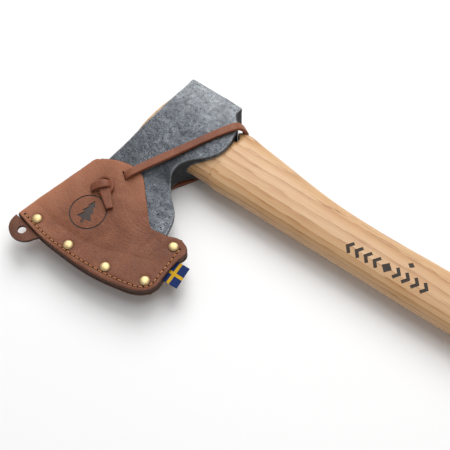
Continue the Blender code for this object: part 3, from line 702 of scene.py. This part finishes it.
def brass():
    s = Surface("brass", Metallic=0.8, Roughness=0.4)
    tarnish = s.noise(380, 4, 0.6)
    s.set("Base Color", s.ramp(tarnish, (0.3, tone(200, 172, 118)), (0.55, tone(222, 197, 146)),
                               (0.8, tone(236, 216, 172))))
    s.set("Roughness", s.ramp(s.noise(900, 3), (0.3, 0.42), (0.7, 0.6)))
    scratches = s.noise(2600, 2, 0.5, space=s.stretched(scale=(1, 0.1, 1), turn=(0, 0, 0.7)))
    s.set("Normal", s.bump(s.math("ADD", tarnish, s.math("MULTIPLY", scratches, 0.3)), 0.16, 0.0006))
    return s.material


def bright_steel():
    s = Surface("bright_steel", Metallic=1.0, Roughness=0.4)
    s.set("Base Color", s.ramp(s.noise(700, 3), (0.3, tone(96, 98, 102)), (0.7, tone(160, 162, 166))))
    s.set("Roughness", s.ramp(s.noise(500, 3), (0.3, 0.3), (0.7, 0.55)))
    return s.material


def waxed_thread():
    s = Surface("waxed_thread", Roughness=0.6)
    values = {"Vector": s.stretched(turn=(0, 0, 0.6)), "Scale": 520.0, "Distortion": 1.0}
    twist = s.node("ShaderNodeTexWave", values, bands_direction="DIAGONAL").outputs["Fac"]
    s.set("Base Color", s.ramp(twist, (0.2, tone(168, 104, 58)), (0.8, tone(214, 152, 98))))
    s.set("Normal", s.bump(twist, 0.6, 0.0004))
    return s.material


def woven_ribbon(bars):
    """A blue ribbon with two yellow bars, each a line in plan through a point with a half width."""
    s = Surface("woven_ribbon", Roughness=0.85)
    axes = s.node("ShaderNodeSeparateXYZ", {0: s.space}).outputs
    crossing = None
    for (px, py), (nx, ny), half in bars:
        level = (px * nx + py * ny) * MM + EYE.x * nx + EYE.y * ny
        along = s.math("ADD", s.math("MULTIPLY", axes["X"], nx), s.math("MULTIPLY", axes["Y"], ny))
        inside = s.math("LESS_THAN", s.math("ABSOLUTE", s.math("SUBTRACT", along, level)), half * MM)
        crossing = inside if crossing is None else s.math("MAXIMUM", crossing, inside)
    warp, weft = (s.node("ShaderNodeTexWave", {"Vector": s.space, "Scale": scale, "Distortion": 0.4},
                         bands_direction=way).outputs["Fac"] for scale, way in ((700.0, "X"), (520.0, "Y")))
    weave = s.math("MULTIPLY", warp, weft)
    blue = s.ramp(weave, (0.0, tone(2, 32, 88)), (1.0, tone(8, 60, 138)))
    yellow = s.ramp(weave, (0.0, tone(206, 158, 8)), (1.0, tone(246, 206, 36)))
    s.set("Base Color", s.mix(crossing, blue, yellow))
    s.set("Normal", s.bump(weave, 0.6, 0.0005))
    return s.material


# ---- head


def head_row(row, across):
    """Points at shares across one row of the head: x, y and half the thickness."""
    y_top, y_under, bow, x_top, x_under, top, mid, under = row
    x = x_top + (x_under - x_top) * across
    y = y_top + (y_under - y_top) * across - bow * 4 * across * (1 - across)
    ease = smoothstep(np.abs(across - 0.5), 0, 0.5)
    return x, y, mid + (np.where(across < 0.5, top, under) - mid) * ease


def head_shape():
    """The forged head as a closed mesh: two cheeks, the walls between them, the poll face and the bit."""
    rings = []
    for row in through(HEAD_ROWS, HEAD_STEPS):
        y_top, y_under, _, x_top, x_under, *_ = row
        width = math.hypot(x_under - x_top, y_under - y_top)
        near = EDGE_DISTANCES / width
        middle = np.linspace(near[-1], 1 - near[-1], CHEEK_COLUMNS)[1:-1]
        across = np.concatenate([near, middle, 1 - near[::-1]])
        x, y, half = head_row(row, across)
        edge = np.minimum(across, 1 - across) * width
        radius = np.minimum(HEAD_ROUND, 0.7 * half)
        half = half - radius + np.sqrt(radius**2 - np.maximum(radius - edge, 0) ** 2)
        cheek = np.stack([x, y, half], 1)
        level = np.linspace(1, -1, WALL_STEPS + 2)[1:-1]
        under_wall = np.stack([np.full(WALL_STEPS, x[-1]), np.full(WALL_STEPS, y[-1]), half[-1] * level], 1)
        top_wall = np.stack([np.full(WALL_STEPS, x[0]), np.full(WALL_STEPS, y[0]), -half[0] * level], 1)
        rings.append(np.vstack([cheek, under_wall, (cheek * (1, 1, -1))[::-1], top_wall]))
    columns = len(cheek)
    count = len(rings[0])
    faces = ring_faces(len(rings), count)
    points = [np.vstack(rings)]
    total = len(rings) * count
    for ring, start in ((rings[0], 0), (rings[-1], (len(rings) - 1) * count)):
        def index(column, level):
            if level == 0:
                return start + column
            if level == WALL_STEPS + 1:
                return start + columns + WALL_STEPS + (columns - 1 - column)
            if column == columns - 1:
                return start + columns + level - 1
            if column == 0:
                return start + 2 * columns + WALL_STEPS + (WALL_STEPS - level)
            return total + (level - 1) * (columns - 2) + column - 1

        inner = []
        for level in range(1, WALL_STEPS + 1):
            t = 1 - 2 * level / (WALL_STEPS + 1)
            inner.append(ring[1:columns - 1] * (1, 1, t))
        for level in range(WALL_STEPS + 1):
            for column in range(columns - 1):
                faces.append((index(column, level), index(column + 1, level),
                              index(column + 1, level + 1), index(column, level + 1)))
        points.append(np.vstack(inner))
        total += WALL_STEPS * (columns - 2)
    return np.vstack(points), faces


def oval_ring(x, high, low, half_thick):
    y, z = squared_oval(around(HANDLE_SIDES), OVAL_POWER)
    return np.stack([np.full(HANDLE_SIDES, x), (high + low) / 2 + (high - low) / 2 * y, half_thick * z], 1)


def build_head(steel):
    points, faces = head_shape()
    head = piece("head", points, faces, "axe", steel, ["axe_head"])
    places, normals = places_of(head), normals_of(head)
    quiet = 0.35 + 0.65 * smoothstep(places[:, 1], -75, -30)
    dents = sum(depth * fractal(places, size, 2, seed) for depth, size, seed in HAMMERED)
    for x, y, radius, depth in DENTS:
        near = np.hypot(places[:, 0] - x, places[:, 1] - y)
        dents -= depth * (1 - smoothstep(near, 0, radius))
    move_points(head, places + normals * (dents * quiet * 0.8)[:, None])
    eye = [flared_ring(x, GAP) for x in (-8.0, 4.0, 7.0, FLARE_END, 78.0)]
    carved(head, [tube_through(eye)], steel)
    normals = normals_of(head)
    # painted shade mask, 1 on the walls between the cheeks
    store(head, "shaded_wall", smoothstep(-np.abs(normals[:, 2]), -0.75, -0.3))
    store_edges(head, 1.1)
    return head


# ---- handle


HANDLE_LINES = through(HANDLE_ROWS, 8)
SHOULDER_LINES = 49  # the first of them, which are all used for the shoulder


def handle_height(x, y):
    """The height of the handle's upper side over a plan place."""
    high, low, half = (np.interp(x, HANDLE_LINES[:, 0], HANDLE_LINES[:, k]) for k in (1, 2, 3))
    share = min(abs(y - (high + low) / 2) / ((high - low) / 2), 0.999)
    return half * (1 - share**OVAL_POWER) ** (1 / OVAL_POWER)


def tenon_face(y):
    """The tenon's end is ground off a little above the head's top edge, which it follows."""
    return np.interp(y, (-25.0, 30.0), (-2.0, 1.6)) - 2.9


def flared_ring(x, more):
    """The section of the eye and of the wood that the wedges spread in it."""
    flare = max(0.0, (FLARE_END - x) / (FLARE_END + 3.0))
    high, low = TENON[0] + FLARE_UP * flare, TENON[1] - FLARE_DOWN * flare
    return oval_ring(x, high + more, low - more, TENON[2] + more)


def wedge_shape(wedge, more, proud):
    """A wedge, or with some more all round the slot for it, which stands proud of the tenon's end."""
    (long, thick, deep), along_y, middle = wedge
    bottom = TENON_END + deep + more
    rings = []
    for is_tip, share, narrow in ((False, 1.0, 1.0), (True, 0.25, 0.94)):
        a, b = long / 2 * narrow + more, thick / 2 * share + more
        wide, high = (a, b) if along_y else (b, a)
        corners = [(middle + up * wide, out * high) for up, out in ((1, 1), (-1, 1), (-1, -1), (1, -1))]
        rings.append([(bottom if is_tip else tenon_face(y) - proud, y, z) for y, z in corners])
    return tube_through(rings)


def chevron(middle, ahead, side, reach, tall):
    """The bent stroke of a chevron in plan, its point towards the side given by reach's sign."""
    corners = [(-reach / 2, tall / 2), (reach / 2, 0.0), (-reach / 2, -tall / 2)]
    line = []
    for (au, av), (bu, bv) in zip(corners, corners[1:]):
        for t in (0.0, 1 / 3, 2 / 3):
            line.append((au + (bu - au) * t, av + (bv - av) * t))
    line.append(corners[-1])
    return [middle + ahead * u + side * v for u, v in line]


def handle_marks():
    """Plain burnt marks: a diamond between chevrons that point away from it, and a small one beside them."""
    start, end = (np.array(p) for p in MARK_LINE)
    ahead = unit(end - start)
    side = np.array((-ahead[1], ahead[0]))
    middle = (start + end) / 2
    half = np.linalg.norm(end - start) / 2
    shapes = []
    for number in range(4):
        away = half - 3.0 - number * 8.4
        for sign in (-1, 1):
            path = chevron(middle + ahead * sign * away, ahead, side, sign * 3.8, 9.4)
            shapes.append(ribbon(path, 2.9, handle_height, MARK_DEPTH))
    steps = np.linspace(-1, 1, 9)
    for place, half_long, wide in ((middle, 4.6, 9.2), (middle + ahead * 16.0 + side * 12.6, 3.0, 5.4)):
        path = [place + ahead * half_long * t for t in steps]
        shapes.append(ribbon(path, wide * (1 - np.abs(steps)) + 0.3, handle_height, MARK_DEPTH, lanes=5))
    return shapes


def build_handle(wood, end_wood, burnt):
    rings = []
    for back, worn in ((0.0, 0.4), (0.4, 0.0)):
        ring = flared_ring(-3.0, -worn)
        ring[:, 0] = tenon_face(ring[:, 1]) + back
        rings.append(ring)
    rings += [flared_ring(x, 0.0) for x in (4.0, 7.0, FLARE_END, *np.linspace(16, 72, 10))]
    reach = lengths_along(HANDLE_LINES)
    shoulder = reach[:SHOULDER_LINES]
    for at in np.concatenate([shoulder, np.arange(shoulder[-1] + 3.0, reach[-1], 3.0), reach[-1:]]):
        x, high, low, half = (np.interp(at, reach, HANDLE_LINES[:, k]) for k in range(4))
        ring = oval_ring(x, high, low, half)
        ring[:, 0] -= SHOULDER_LEAN * smoothstep(ring[:, 1], 22, 31) * (1 - smoothstep(x, 75, 90))
        rings.append(ring)
    for share, more in ((0.9, 1.0), (0.7, 1.9), (0.4, 2.5)):
        x, high, low, half = HANDLE_LINES[-1]
        mid, deep = (high + low) / 2, (high - low) / 2
        rings.append(oval_ring(x + more, mid + deep * share, mid - deep * share, half * share))
    handle = piece("helve", *tube_through(rings), "axe", wood, ["handle"])
    for wedge in (WOOD_WEDGE, STEEL_WEDGE):
        carved(handle, [wedge_shape(wedge, GAP, SLOT_PROUD)], end_wood)
    carved(handle, handle_marks(), burnt)
    end_face = [f for f in handle.data.polygons
                if f.center.x < EYE.x + (tenon_face((f.center.y - EYE.y) / MM) + 0.25) * MM]
    index = list(handle.data.materials).index(end_wood)
    for face in end_face:
        face.material_index = index


def build_wedges(end_wood, metal):
    wooden = piece("wooden_wedge", *wedge_shape(WOOD_WEDGE, 0.0, WOOD_PROUD), "axe", end_wood, ["eye_wedge"])
    carved(wooden, [wedge_shape(STEEL_WEDGE, GAP, SLOT_PROUD)], end_wood)
    piece("metal_wedge", *wedge_shape(STEEL_WEDGE, 0.0, STEEL_PROUD), "axe", metal, ["steel_wedge"])


# ---- sheath


def blade_half(x, y):
    """Half the head's thickness at plan places, fading to nothing just past the under edge."""
    halves, places = [], []
    for row in HEAD_ROWS:
        row_x, row_y, row_half = head_row(row, ACROSS)
        past = np.clip(1.0 - np.maximum(0.0, x - row_x[-1]) / 8.0, 0.0, 1.0)
        halves.append(np.interp(x, row_x, row_half) * past)
        places.append(np.interp(x, row_x, row_y))
    made = np.zeros(np.shape(x))
    for k in range(len(places) - 1):
        inside = (y <= places[k]) & (y >= places[k + 1])
        t = (places[k] - y) / np.maximum(places[k] - places[k + 1], 1e-6)
        made = np.where(inside, halves[k] + (halves[k + 1] - halves[k]) * t, made)
    return made


def pocket_half(x, y):
    """Half the pocket's thickness, with room for all of the blade that slides out past a place."""
    dx, dy = FOLD_DIRECTION
    tallest = np.max([blade_half(x + dx * s, y + dy * s) for s in range(0, 60, 6)], axis=0)
    return np.maximum(tallest + POCKET_PLAY, WELT / 2 + GAP / 2)


def panel_plan(us, vs):
    """A patch between the mouth, the seam's bottom, the fold and the seam's side, as x and y grids."""
    sides = [evenly(through(line, 6), 161) for line in (MOUTH, SEAM_BOTTOM, FOLD, SEAM_SIDE)]
    even = np.linspace(0, 1, 161)
    mouth, bottom = (np.stack([np.interp(us, even, line[:, k]) for k in (0, 1)], 1) for line in sides[:2])
    fold, side = (np.stack([np.interp(vs, even, line[:, k]) for k in (0, 1)], 1) for line in sides[2:])
    u, v = us[None, :, None], vs[:, None, None]
    corners = ((1 - u) * (1 - v) * mouth[0] + u * (1 - v) * mouth[-1]
               + (1 - u) * v * bottom[0] + u * v * bottom[-1])
    return (1 - v) * mouth[None] + v * bottom[None] + (1 - u) * fold[:, None] + u * side[:, None] - corners


def leather_relief(x, y, side):
    """How far the leather's outer face stands from its plain thickness, in millimetres."""
    shape = np.shape(x)
    flat = np.stack([x.ravel(), y.ravel(), np.full(x.size, 30.0 * side)], 1)
    swell = 0.45 * fractal(flat, 26.0, 2, 3.0) + 0.12 * fractal(flat, 8.0, 2, 7.0)
    relief = swell.reshape(shape)
    for rx, ry in RIVETS:
        near = np.hypot(x - rx, y - ry)
        relief = relief - 0.55 * (1 - smoothstep(near, 3.4, 8.0))
    groove = distance_to_line(x, y, evenly(through(STITCH_LINE, 4), 50))
    relief = relief - 0.35 * np.exp(-((groove / 1.5) ** 2))
    # creases that run from the side rivet across to the blade's heel
    cx, cy = RIVETS[-1]
    away = np.hypot(x - cx, y - cy)
    bearing = np.arctan2(y - cy, x - cx)
    spread = smoothstep(away, 6, 14) * (1 - smoothstep(away, 30, 52))
    spread = spread * smoothstep(-np.cos(bearing + 0.15), 0.6, 0.95)
    creases = np.sin(bearing * 34 + 2.2 * np.sin(away / 7.0)) ** 2
    return relief - 0.32 * spread * creases


def sheath_shape():
    """The folded leather as one closed sheet, from the back seam round the fold to the front seam."""
    turn = np.linspace(0, math.pi / 2, FOLD_STEPS + 1)
    fold_u = FOLD_SHARE * (1 - np.cos(turn) ** (2 / 3))
    us = np.concatenate([fold_u, np.linspace(FOLD_SHARE, 1, PANEL_ACROSS)[1:]])
    vs = np.linspace(0, 1, PANEL_DOWN)
    plan = panel_plan(us, vs)
    x, y = plan[..., 0], plan[..., 1]
    height = pocket_half(x, y)
    edge_height = pocket_half(plan[:, 0, 0] + 8.0, plan[:, 0, 1])
    height[:, :FOLD_STEPS + 1] = edge_height[:, None] * np.sin(turn)[None] ** (2 / 3)
    for _ in range(14):
        smooth = height.copy()
        smooth[:, FOLD_STEPS + 2:-1] = (height[:, FOLD_STEPS + 1:-2] + height[:, FOLD_STEPS + 3:]
                                        + 2 * height[:, FOLD_STEPS + 2:-1]) / 4
        height = smooth
    front = np.stack([x, y, height], -1)
    back = (front * (1, 1, -1))[:, :0:-1]
    inner = np.concatenate([back, front], 1)
    down, across = np.gradient(inner, axis=0), np.gradient(inner, axis=1)
    normals = unit(np.cross(down, across))
    if np.mean(normals[:, -1, 2]) < 0:
        normals = -normals
    fx, fy = front[..., 0], front[..., 1]
    relief = np.concatenate([leather_relief(fx, fy, -1)[:, :0:-1], leather_relief(fx, fy, 1)], 1)
    rows, columns = relief.shape
    plan_x, plan_y = inner[..., 0], inner[..., 1]
    rim_distance = np.min([distance_to_line(plan_x, plan_y, side[:, :2][::4])
                           for side in (inner[0], inner[-1], inner[:, -1])], axis=0)
    relief = relief - 0.5 * (1 - smoothstep(rim_distance, 0.0, 1.6))
    outer = inner + normals * (LEATHER + relief)[..., None]
    inner_start = rows * columns
    points = [outer.reshape(-1, 3), inner.reshape(-1, 3)]
    faces = grid_faces(rows, columns) + [f[::-1] for f in grid_faces(rows, columns, inner_start)]
    loop = grid_outline(rows, columns)
    out = []
    for r, c in loop:
        away = np.zeros(3)
        if r in (0, rows - 1):
            away = away + unit(inner[r, c] - inner[1 if r == 0 else rows - 2, c])
        if c in (0, columns - 1):
            away = away + unit(inner[r, c] - inner[r, 1 if c == 0 else columns - 2])
        out.append(unit(away))
    out = np.array(out)
    on_outer = np.array([outer[r, c] for r, c in loop])
    on_inner = np.array([inner[r, c] for r, c in loop])
    bulge = 0.55 * out
    points += [on_outer + (on_inner - on_outer) * t + bulge * (1 - abs(2 * t - 1) ** 3) for t in RIM_LAYERS]
    rim_start = 2 * rows * columns
    count = len(loop)
    chains = [[r * columns + c for r, c in loop]]
    chains += [[rim_start + k * count + i for i in range(count)] for k in range(len(RIM_LAYERS))]
    chains.append([inner_start + r * columns + c for r, c in loop])
    for upper, lower in zip(chains, chains[1:]):
        for i in range(count):
            j = (i + 1) % count
            faces.append((upper[i], upper[j], lower[j], lower[i]))
    rim = np.zeros(rim_start + count * len(RIM_LAYERS))
    rim[rim_start:] = 1.0
    rim[[i for chain in (chains[0], chains[-1]) for i in chain]] = 0.75
    # painted highlight near the fold and along the mouth
    painted_highlight = 0.75 * np.exp(-distance_to_line(plan_x, plan_y, FOLD) / 14.0)
    mouth = distance_to_line(plan_x, plan_y, through(MOUTH[:9], 3))
    painted_highlight = np.maximum(painted_highlight, 0.65 * np.exp(-mouth / 12.0))
    painted_highlight = np.concatenate([painted_highlight.ravel(), np.zeros(len(rim) - painted_highlight.size)])
    # painted shade: in the stitch groove, round the rivets and growing towards the panel's right
    seam = distance_to_line(plan_x, plan_y, through(STITCH_LINE, 3))
    groove = 0.35 * np.exp(-((seam / 1.5) ** 2))
    for rx, ry in RIVETS:
        away = np.hypot(plan_x - rx, plan_y - ry)
        groove = np.maximum(groove, 0.6 * (1 - smoothstep(away, 4.4, 6.4)))
    groove = np.maximum(groove, 0.26 * smoothstep(plan_x, 30, 90))
    painted_shade = np.concatenate([groove.ravel(), np.zeros(len(rim) - groove.size)])
    return np.vstack(points), faces, rim, painted_highlight, painted_shade


def turned_by(angle, points, centre):
    c, s = math.cos(angle), math.sin(angle)
    return [(centre[0] + u * c - v * s, centre[1] + u * s + v * c) for u, v in points]


def emblem_cutters(height):
    """A plain ring round a spruce of three tiers, pressed into the leather."""
    circle = [(EMBLEM_RADIUS * math.cos(a), EMBLEM_RADIUS * math.sin(a)) for a in around(64)]
    shapes = [ribbon(turned_by(EMBLEM_TURN, circle, EMBLEM), 1.15, height, 0.55, closed=True)]
    trunk = turned_by(EMBLEM_TURN, [(0.0, v) for v, _ in SPRUCE], EMBLEM)
    shapes.append(ribbon(trunk, [width for _, width in SPRUCE], height, 0.5, lanes=9))
    return shapes


def stitch_places():
    line = through(STITCH_LINE, 8)
    count = round(lengths_along(line)[-1] / STITCH)
    return evenly(line, count + 1)


def build_sheath(skin, pressed):
    points, faces, rim, painted_highlight, painted_shade = sheath_shape()
    sheath = piece("sheath", points, faces, "sheath", skin, ["sheath_leather"])
    store_skin(sheath, rim, painted_highlight, painted_shade)
    height = height_over(sheath)
    near, far = -LACE_WIDTH / 2 - 0.4, LACE_WIDTH / 2 + 2.8
    slit = turned_by(LACE_ANGLE, [(0.2, near), (3.2, near), (2.9, far), (1.7, far)], LACE_SLIT)
    slots = tube_through([[(x, y, z) for x, y in slit] for z in (-30.0, 30.0)])
    shapes = [slots, *emblem_cutters(height)]
    for x, y in stitch_places():
        for side in (1, -1):
            level = height(x, y, side)
            shapes.append(upright(x, y, 1.0, *sorted((level - side * 1.5, level + side * 1.5)), sides=8))
    # the cut faces take the dark pressed leather colour, partly painted shade in the hollows
    carved(sheath, shapes, pressed)
    return height


def build_stitches(height, thread):
    places = stitch_places()
    for side, name, node in ((1, "stitches_front", "thread_front"), (-1, "stitches_back", "thread_back")):
        shapes = []
        for a, b in zip(places, places[1:]):
            line = []
            for t, lift in STITCH_ARCH:
                x, y = a + (b - a) * t
                line.append((x, y, height(x, y, side) + side * lift))
            shapes.append(sweep(line, (0.0, 0.0, 1.0), 1.0, 1.0, power=2.0, sides=8, tip=0.1))
        piece(name, *joined(shapes), "sheath", thread, [node])


def build_rivets(height, metal):
    steps = 48
    turn = around(steps)
    for number, (x, y) in enumerate(RIVETS, 1):
        squash = 1.0 + 0.03 * math.sin(3 * number)
        for side, kind, share in ((1, "cap", 1.0), (-1, "back", 0.55)):
            low = max(height(x + 4 * math.cos(a), y + 4 * math.sin(a), side) * side for a in turn[::8])
            points = [(x + radius * squash * math.cos(a), y + radius / squash * math.sin(a),
                       side * (low + 0.5 + level * share)) for radius, level in RIVET_PROFILE for a in turn]
            last = (len(RIVET_PROFILE) - 1) * steps
            faces = [*ring_faces(len(RIVET_PROFILE), steps), tuple(last + k for k in range(steps))]
            made = piece(f"rivet_{kind}_face_{number}", points, faces, "sheath", metal,
                         [f"rivet_{kind}_{number}"], sharp=60.0)
            clean(made.data, merge=1e-6)


def rounded_copy(name, node, body, material, width):
    """A CAD node's shape with its edges rounded."""
    made = linked(name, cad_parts[node].data.copy())
    clean(made.data, merge=2e-6, flat=math.radians(2))
    made.data.materials.clear()
    made.data.materials.append(material)
    bevel = made.modifiers.new("worn_edges", "BEVEL")
    bevel.width = width * MM
    bevel.segments = 4
    bevel.angle_limit = math.radians(35)
    apply_steps(made, 45)
    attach(made, body)
    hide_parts(node)
    store_skin(made, rim=smoothstep(-np.abs(normals_of(made)[:, 2]), -0.7, -0.2))
    return made


def build_tab(skin):
    """The tab, whose corner by the fold is drawn up into the seam."""
    tab = rounded_copy("tab", "hanging_tab", "sheath", skin, 0.9)
    places = places_of(tab)
    places[:, 1] += 1.4 * smoothstep(-places[:, 0], 26, 29) * smoothstep(places[:, 1], -154, -149)
    move_points(tab, places)


def build_tag(ribbon_material):
    """A folded ribbon end, a little wavy, that is sewn in between the panels."""
    top_in, top_out, low_out, low_in = (np.array(p) for p in TAG)
    rows, columns = 36, 30
    points = []
    for side in (1, -1):
        for v in np.linspace(0, 1, rows):
            for u in np.linspace(0, 1, columns):
                x, y = (1 - v) * ((1 - u) * top_in + u * top_out) + v * ((1 - u) * low_in + u * low_out)
                bend = 0.5 * math.sin(v * 5.0 + 0.6) * u + 0.35 * math.sin(u * 4 + 2 * v)
                edge = min(1 - u, v, 1 - v, 0.06) / 0.06
                points.append((x, y, bend + side * (0.5 * (0.35 + 0.65 * math.sqrt(max(edge, 0.0))))))
    size = rows * columns
    faces = grid_faces(rows, columns) + [f[::-1] for f in grid_faces(rows, columns, size)]
    loop = grid_outline(rows, columns)
    for (r, c), (r2, c2) in zip(loop, loop[1:] + loop[:1]):
        a, b = r * columns + c, r2 * columns + c2
        faces.append((a, b, b + size, a + size))
    piece("ribbon_tag", points, faces, "sheath", ribbon_material, ["woven_tag"])


# ---- lace


def build_lace(skin):
    upper = through(LACE_PATH, 4)
    line = np.vstack([upper, (upper * (1, -1))[::-1]])
    ahead = np.array((math.cos(LACE_ANGLE), math.sin(LACE_ANGLE)))
    aside = np.array((math.sin(LACE_ANGLE), -math.cos(LACE_ANGLE)))
    reach = lengths_along(line)
    drift = 0.35 * np.sin(reach / 23.0) + 0.2 * np.sin(reach / 9.0 + 1.0)
    drift += np.where(line[:, 1] < 0, LACE_BOW * np.sin(np.pi * line[:, 0] / line[:, 0].max()), 0.0)
    centres = np.stack([LACE_SLIT[0] + line[:, 0] * ahead[0] + drift * aside[0],
                        LACE_SLIT[1] + line[:, 0] * ahead[1] + drift * aside[1], line[:, 1]], 1)
    tilt = 0.10 * np.sin(reach / 31.0 + 0.4)
    across = np.stack([np.full(len(line), aside[0]), np.full(len(line), aside[1]), tilt], 1)
    widths = LACE_WIDTH + 0.35 * np.sin(reach / 17.0)
    strap = sweep(centres, across, widths + 0.5, LACE_THICKNESS + 0.3, power=9.0, sides=40)
    store_skin(piece("lace", *strap, "lace", skin, ["lace_loop"]))


def on_leather(route, height, side):
    """The middle line of a strand, from a route with heights over the leather."""
    return np.array([(x, y, height(x, y, side) + side * lift) for x, y, lift in through(route, 4)])


def build_knot(height, skin, side, name, node):
    """The lace's end, passed through its own slit: a ring, a roll over it and a flat tail."""
    ring, roll, tail = (on_leather(route, height, side) for route in (KNOT_RING, KNOT_ROLL, KNOT_TAIL))
    outward = unit((ring - KNOT_CENTRE) * (1, 1, 0)) + (0.0, 0.0, 0.25 * side)
    roll_widths = np.interp(np.arange(len(roll)), (0, 12, 24), (7.4, 8.0, 6.2))
    tail_widths = np.interp(np.arange(len(tail)), (0, 8, 20), (8.4, 9.4, 6.0))
    shapes = [sweep(ring, outward, 3.3, 2.9, power=3.2),
              sweep(roll, (0.70, -0.71, 0.0), roll_widths, 2.7, power=3.6),
              sweep(tail, (0.62, 0.78, 0.0), tail_widths, 2.5, power=5.0)]
    store_skin(piece(name, *joined(shapes), "sheath", skin, [node]))


# ---- studio


def build_studio():
    floor_mesh = bpy.data.meshes.new("floor")
    corners = [(-FLOOR, -FLOOR, 0), (FLOOR, -FLOOR, 0), (FLOOR, FLOOR, 0), (-FLOOR, FLOOR, 0)]
    floor_mesh.from_pydata(corners, [], [(0, 1, 2, 3)])
    floor = linked("floor", floor_mesh)
    pale = Surface("pale_floor", Roughness=0.9)
    cloud = pale.noise(3, 2)
    pale.set("Base Color", pale.ramp(cloud, (0.3, tone(246, 246, 246)), (0.7, tone(249, 249, 249))))
    floor_mesh.materials.append(pale.material)

    world = bpy.data.worlds.new("studio")
    bpy.context.scene.world = world
    world.use_nodes = True
    background = world.node_tree.nodes["Background"]
    background.inputs["Color"].default_value = (1.0, 1.0, 1.0, 1.0)
    background.inputs["Strength"].default_value = 0.36

    centre = EYE + Vector((0.06, -0.05, 0.0))
    for name, offset, size, power in LAMPS:
        light = bpy.data.lights.new(name, "AREA")
        light.shape = "DISK"
        light.size = size
        light.energy = power
        lamp = linked(name, light)
        lamp.location = centre + Vector(offset)
        lamp.rotation_euler = (centre - lamp.location).to_track_quat("-Z", "Y").to_euler()

    bpy.context.scene.view_settings.view_transform = "Standard"


def build_camera():
    azimuth, elevation = (math.radians(angle) for angle in CAMERA_ANGLES)
    aim = EYE + Vector((*CAMERA_AIM, 0.0)) * MM
    ahead = Vector((-math.sin(azimuth) * math.cos(elevation), math.cos(azimuth) * math.cos(elevation),
                    -math.sin(elevation)))
    data = bpy.data.cameras.new("camera")
    data.lens = 85.0
    data.sensor_width = 36.0
    camera = linked("camera", data)
    camera.location = aim - ahead * CAMERA_DISTANCE
    camera.rotation_euler = ahead.to_track_quat("-Z", "Y").to_euler()
    bpy.context.scene.camera = camera


def main():
    steel = forged_steel()
    wood, end_wood = ash_wood(), end_grain()
    skin = leather("sheath_skin", (92, 50, 33), (125, 73, 49), (152, 99, 72), edge=(52, 32, 22))
    dark_skin = leather("tab_skin", (80, 45, 30), (101, 62, 43), (120, 77, 56), edge=(52, 32, 22))
    lace_skin = leather("lace_skin", (100, 53, 35), (126, 72, 49), (148, 94, 69), grain=0.6)
    build_camera()
    build_studio()
    build_head(steel)
    build_handle(wood, end_wood, burnt_wood())
    build_wedges(end_wood, bright_steel())
    height = build_sheath(skin, pressed_and_shaded_leather())
    build_stitches(height, waxed_thread())
    build_rivets(height, brass())
    rounded_copy("welt_strip", "welt", "sheath", dark_skin, 0.5)
    build_tab(dark_skin)
    build_tag(woven_ribbon(TAG_BARS))
    build_lace(lace_skin)
    build_knot(height, lace_skin, 1, "knot", "lace_knot")
    build_knot(height, lace_skin, -1, "back_knot", "lace_end_back")


main()
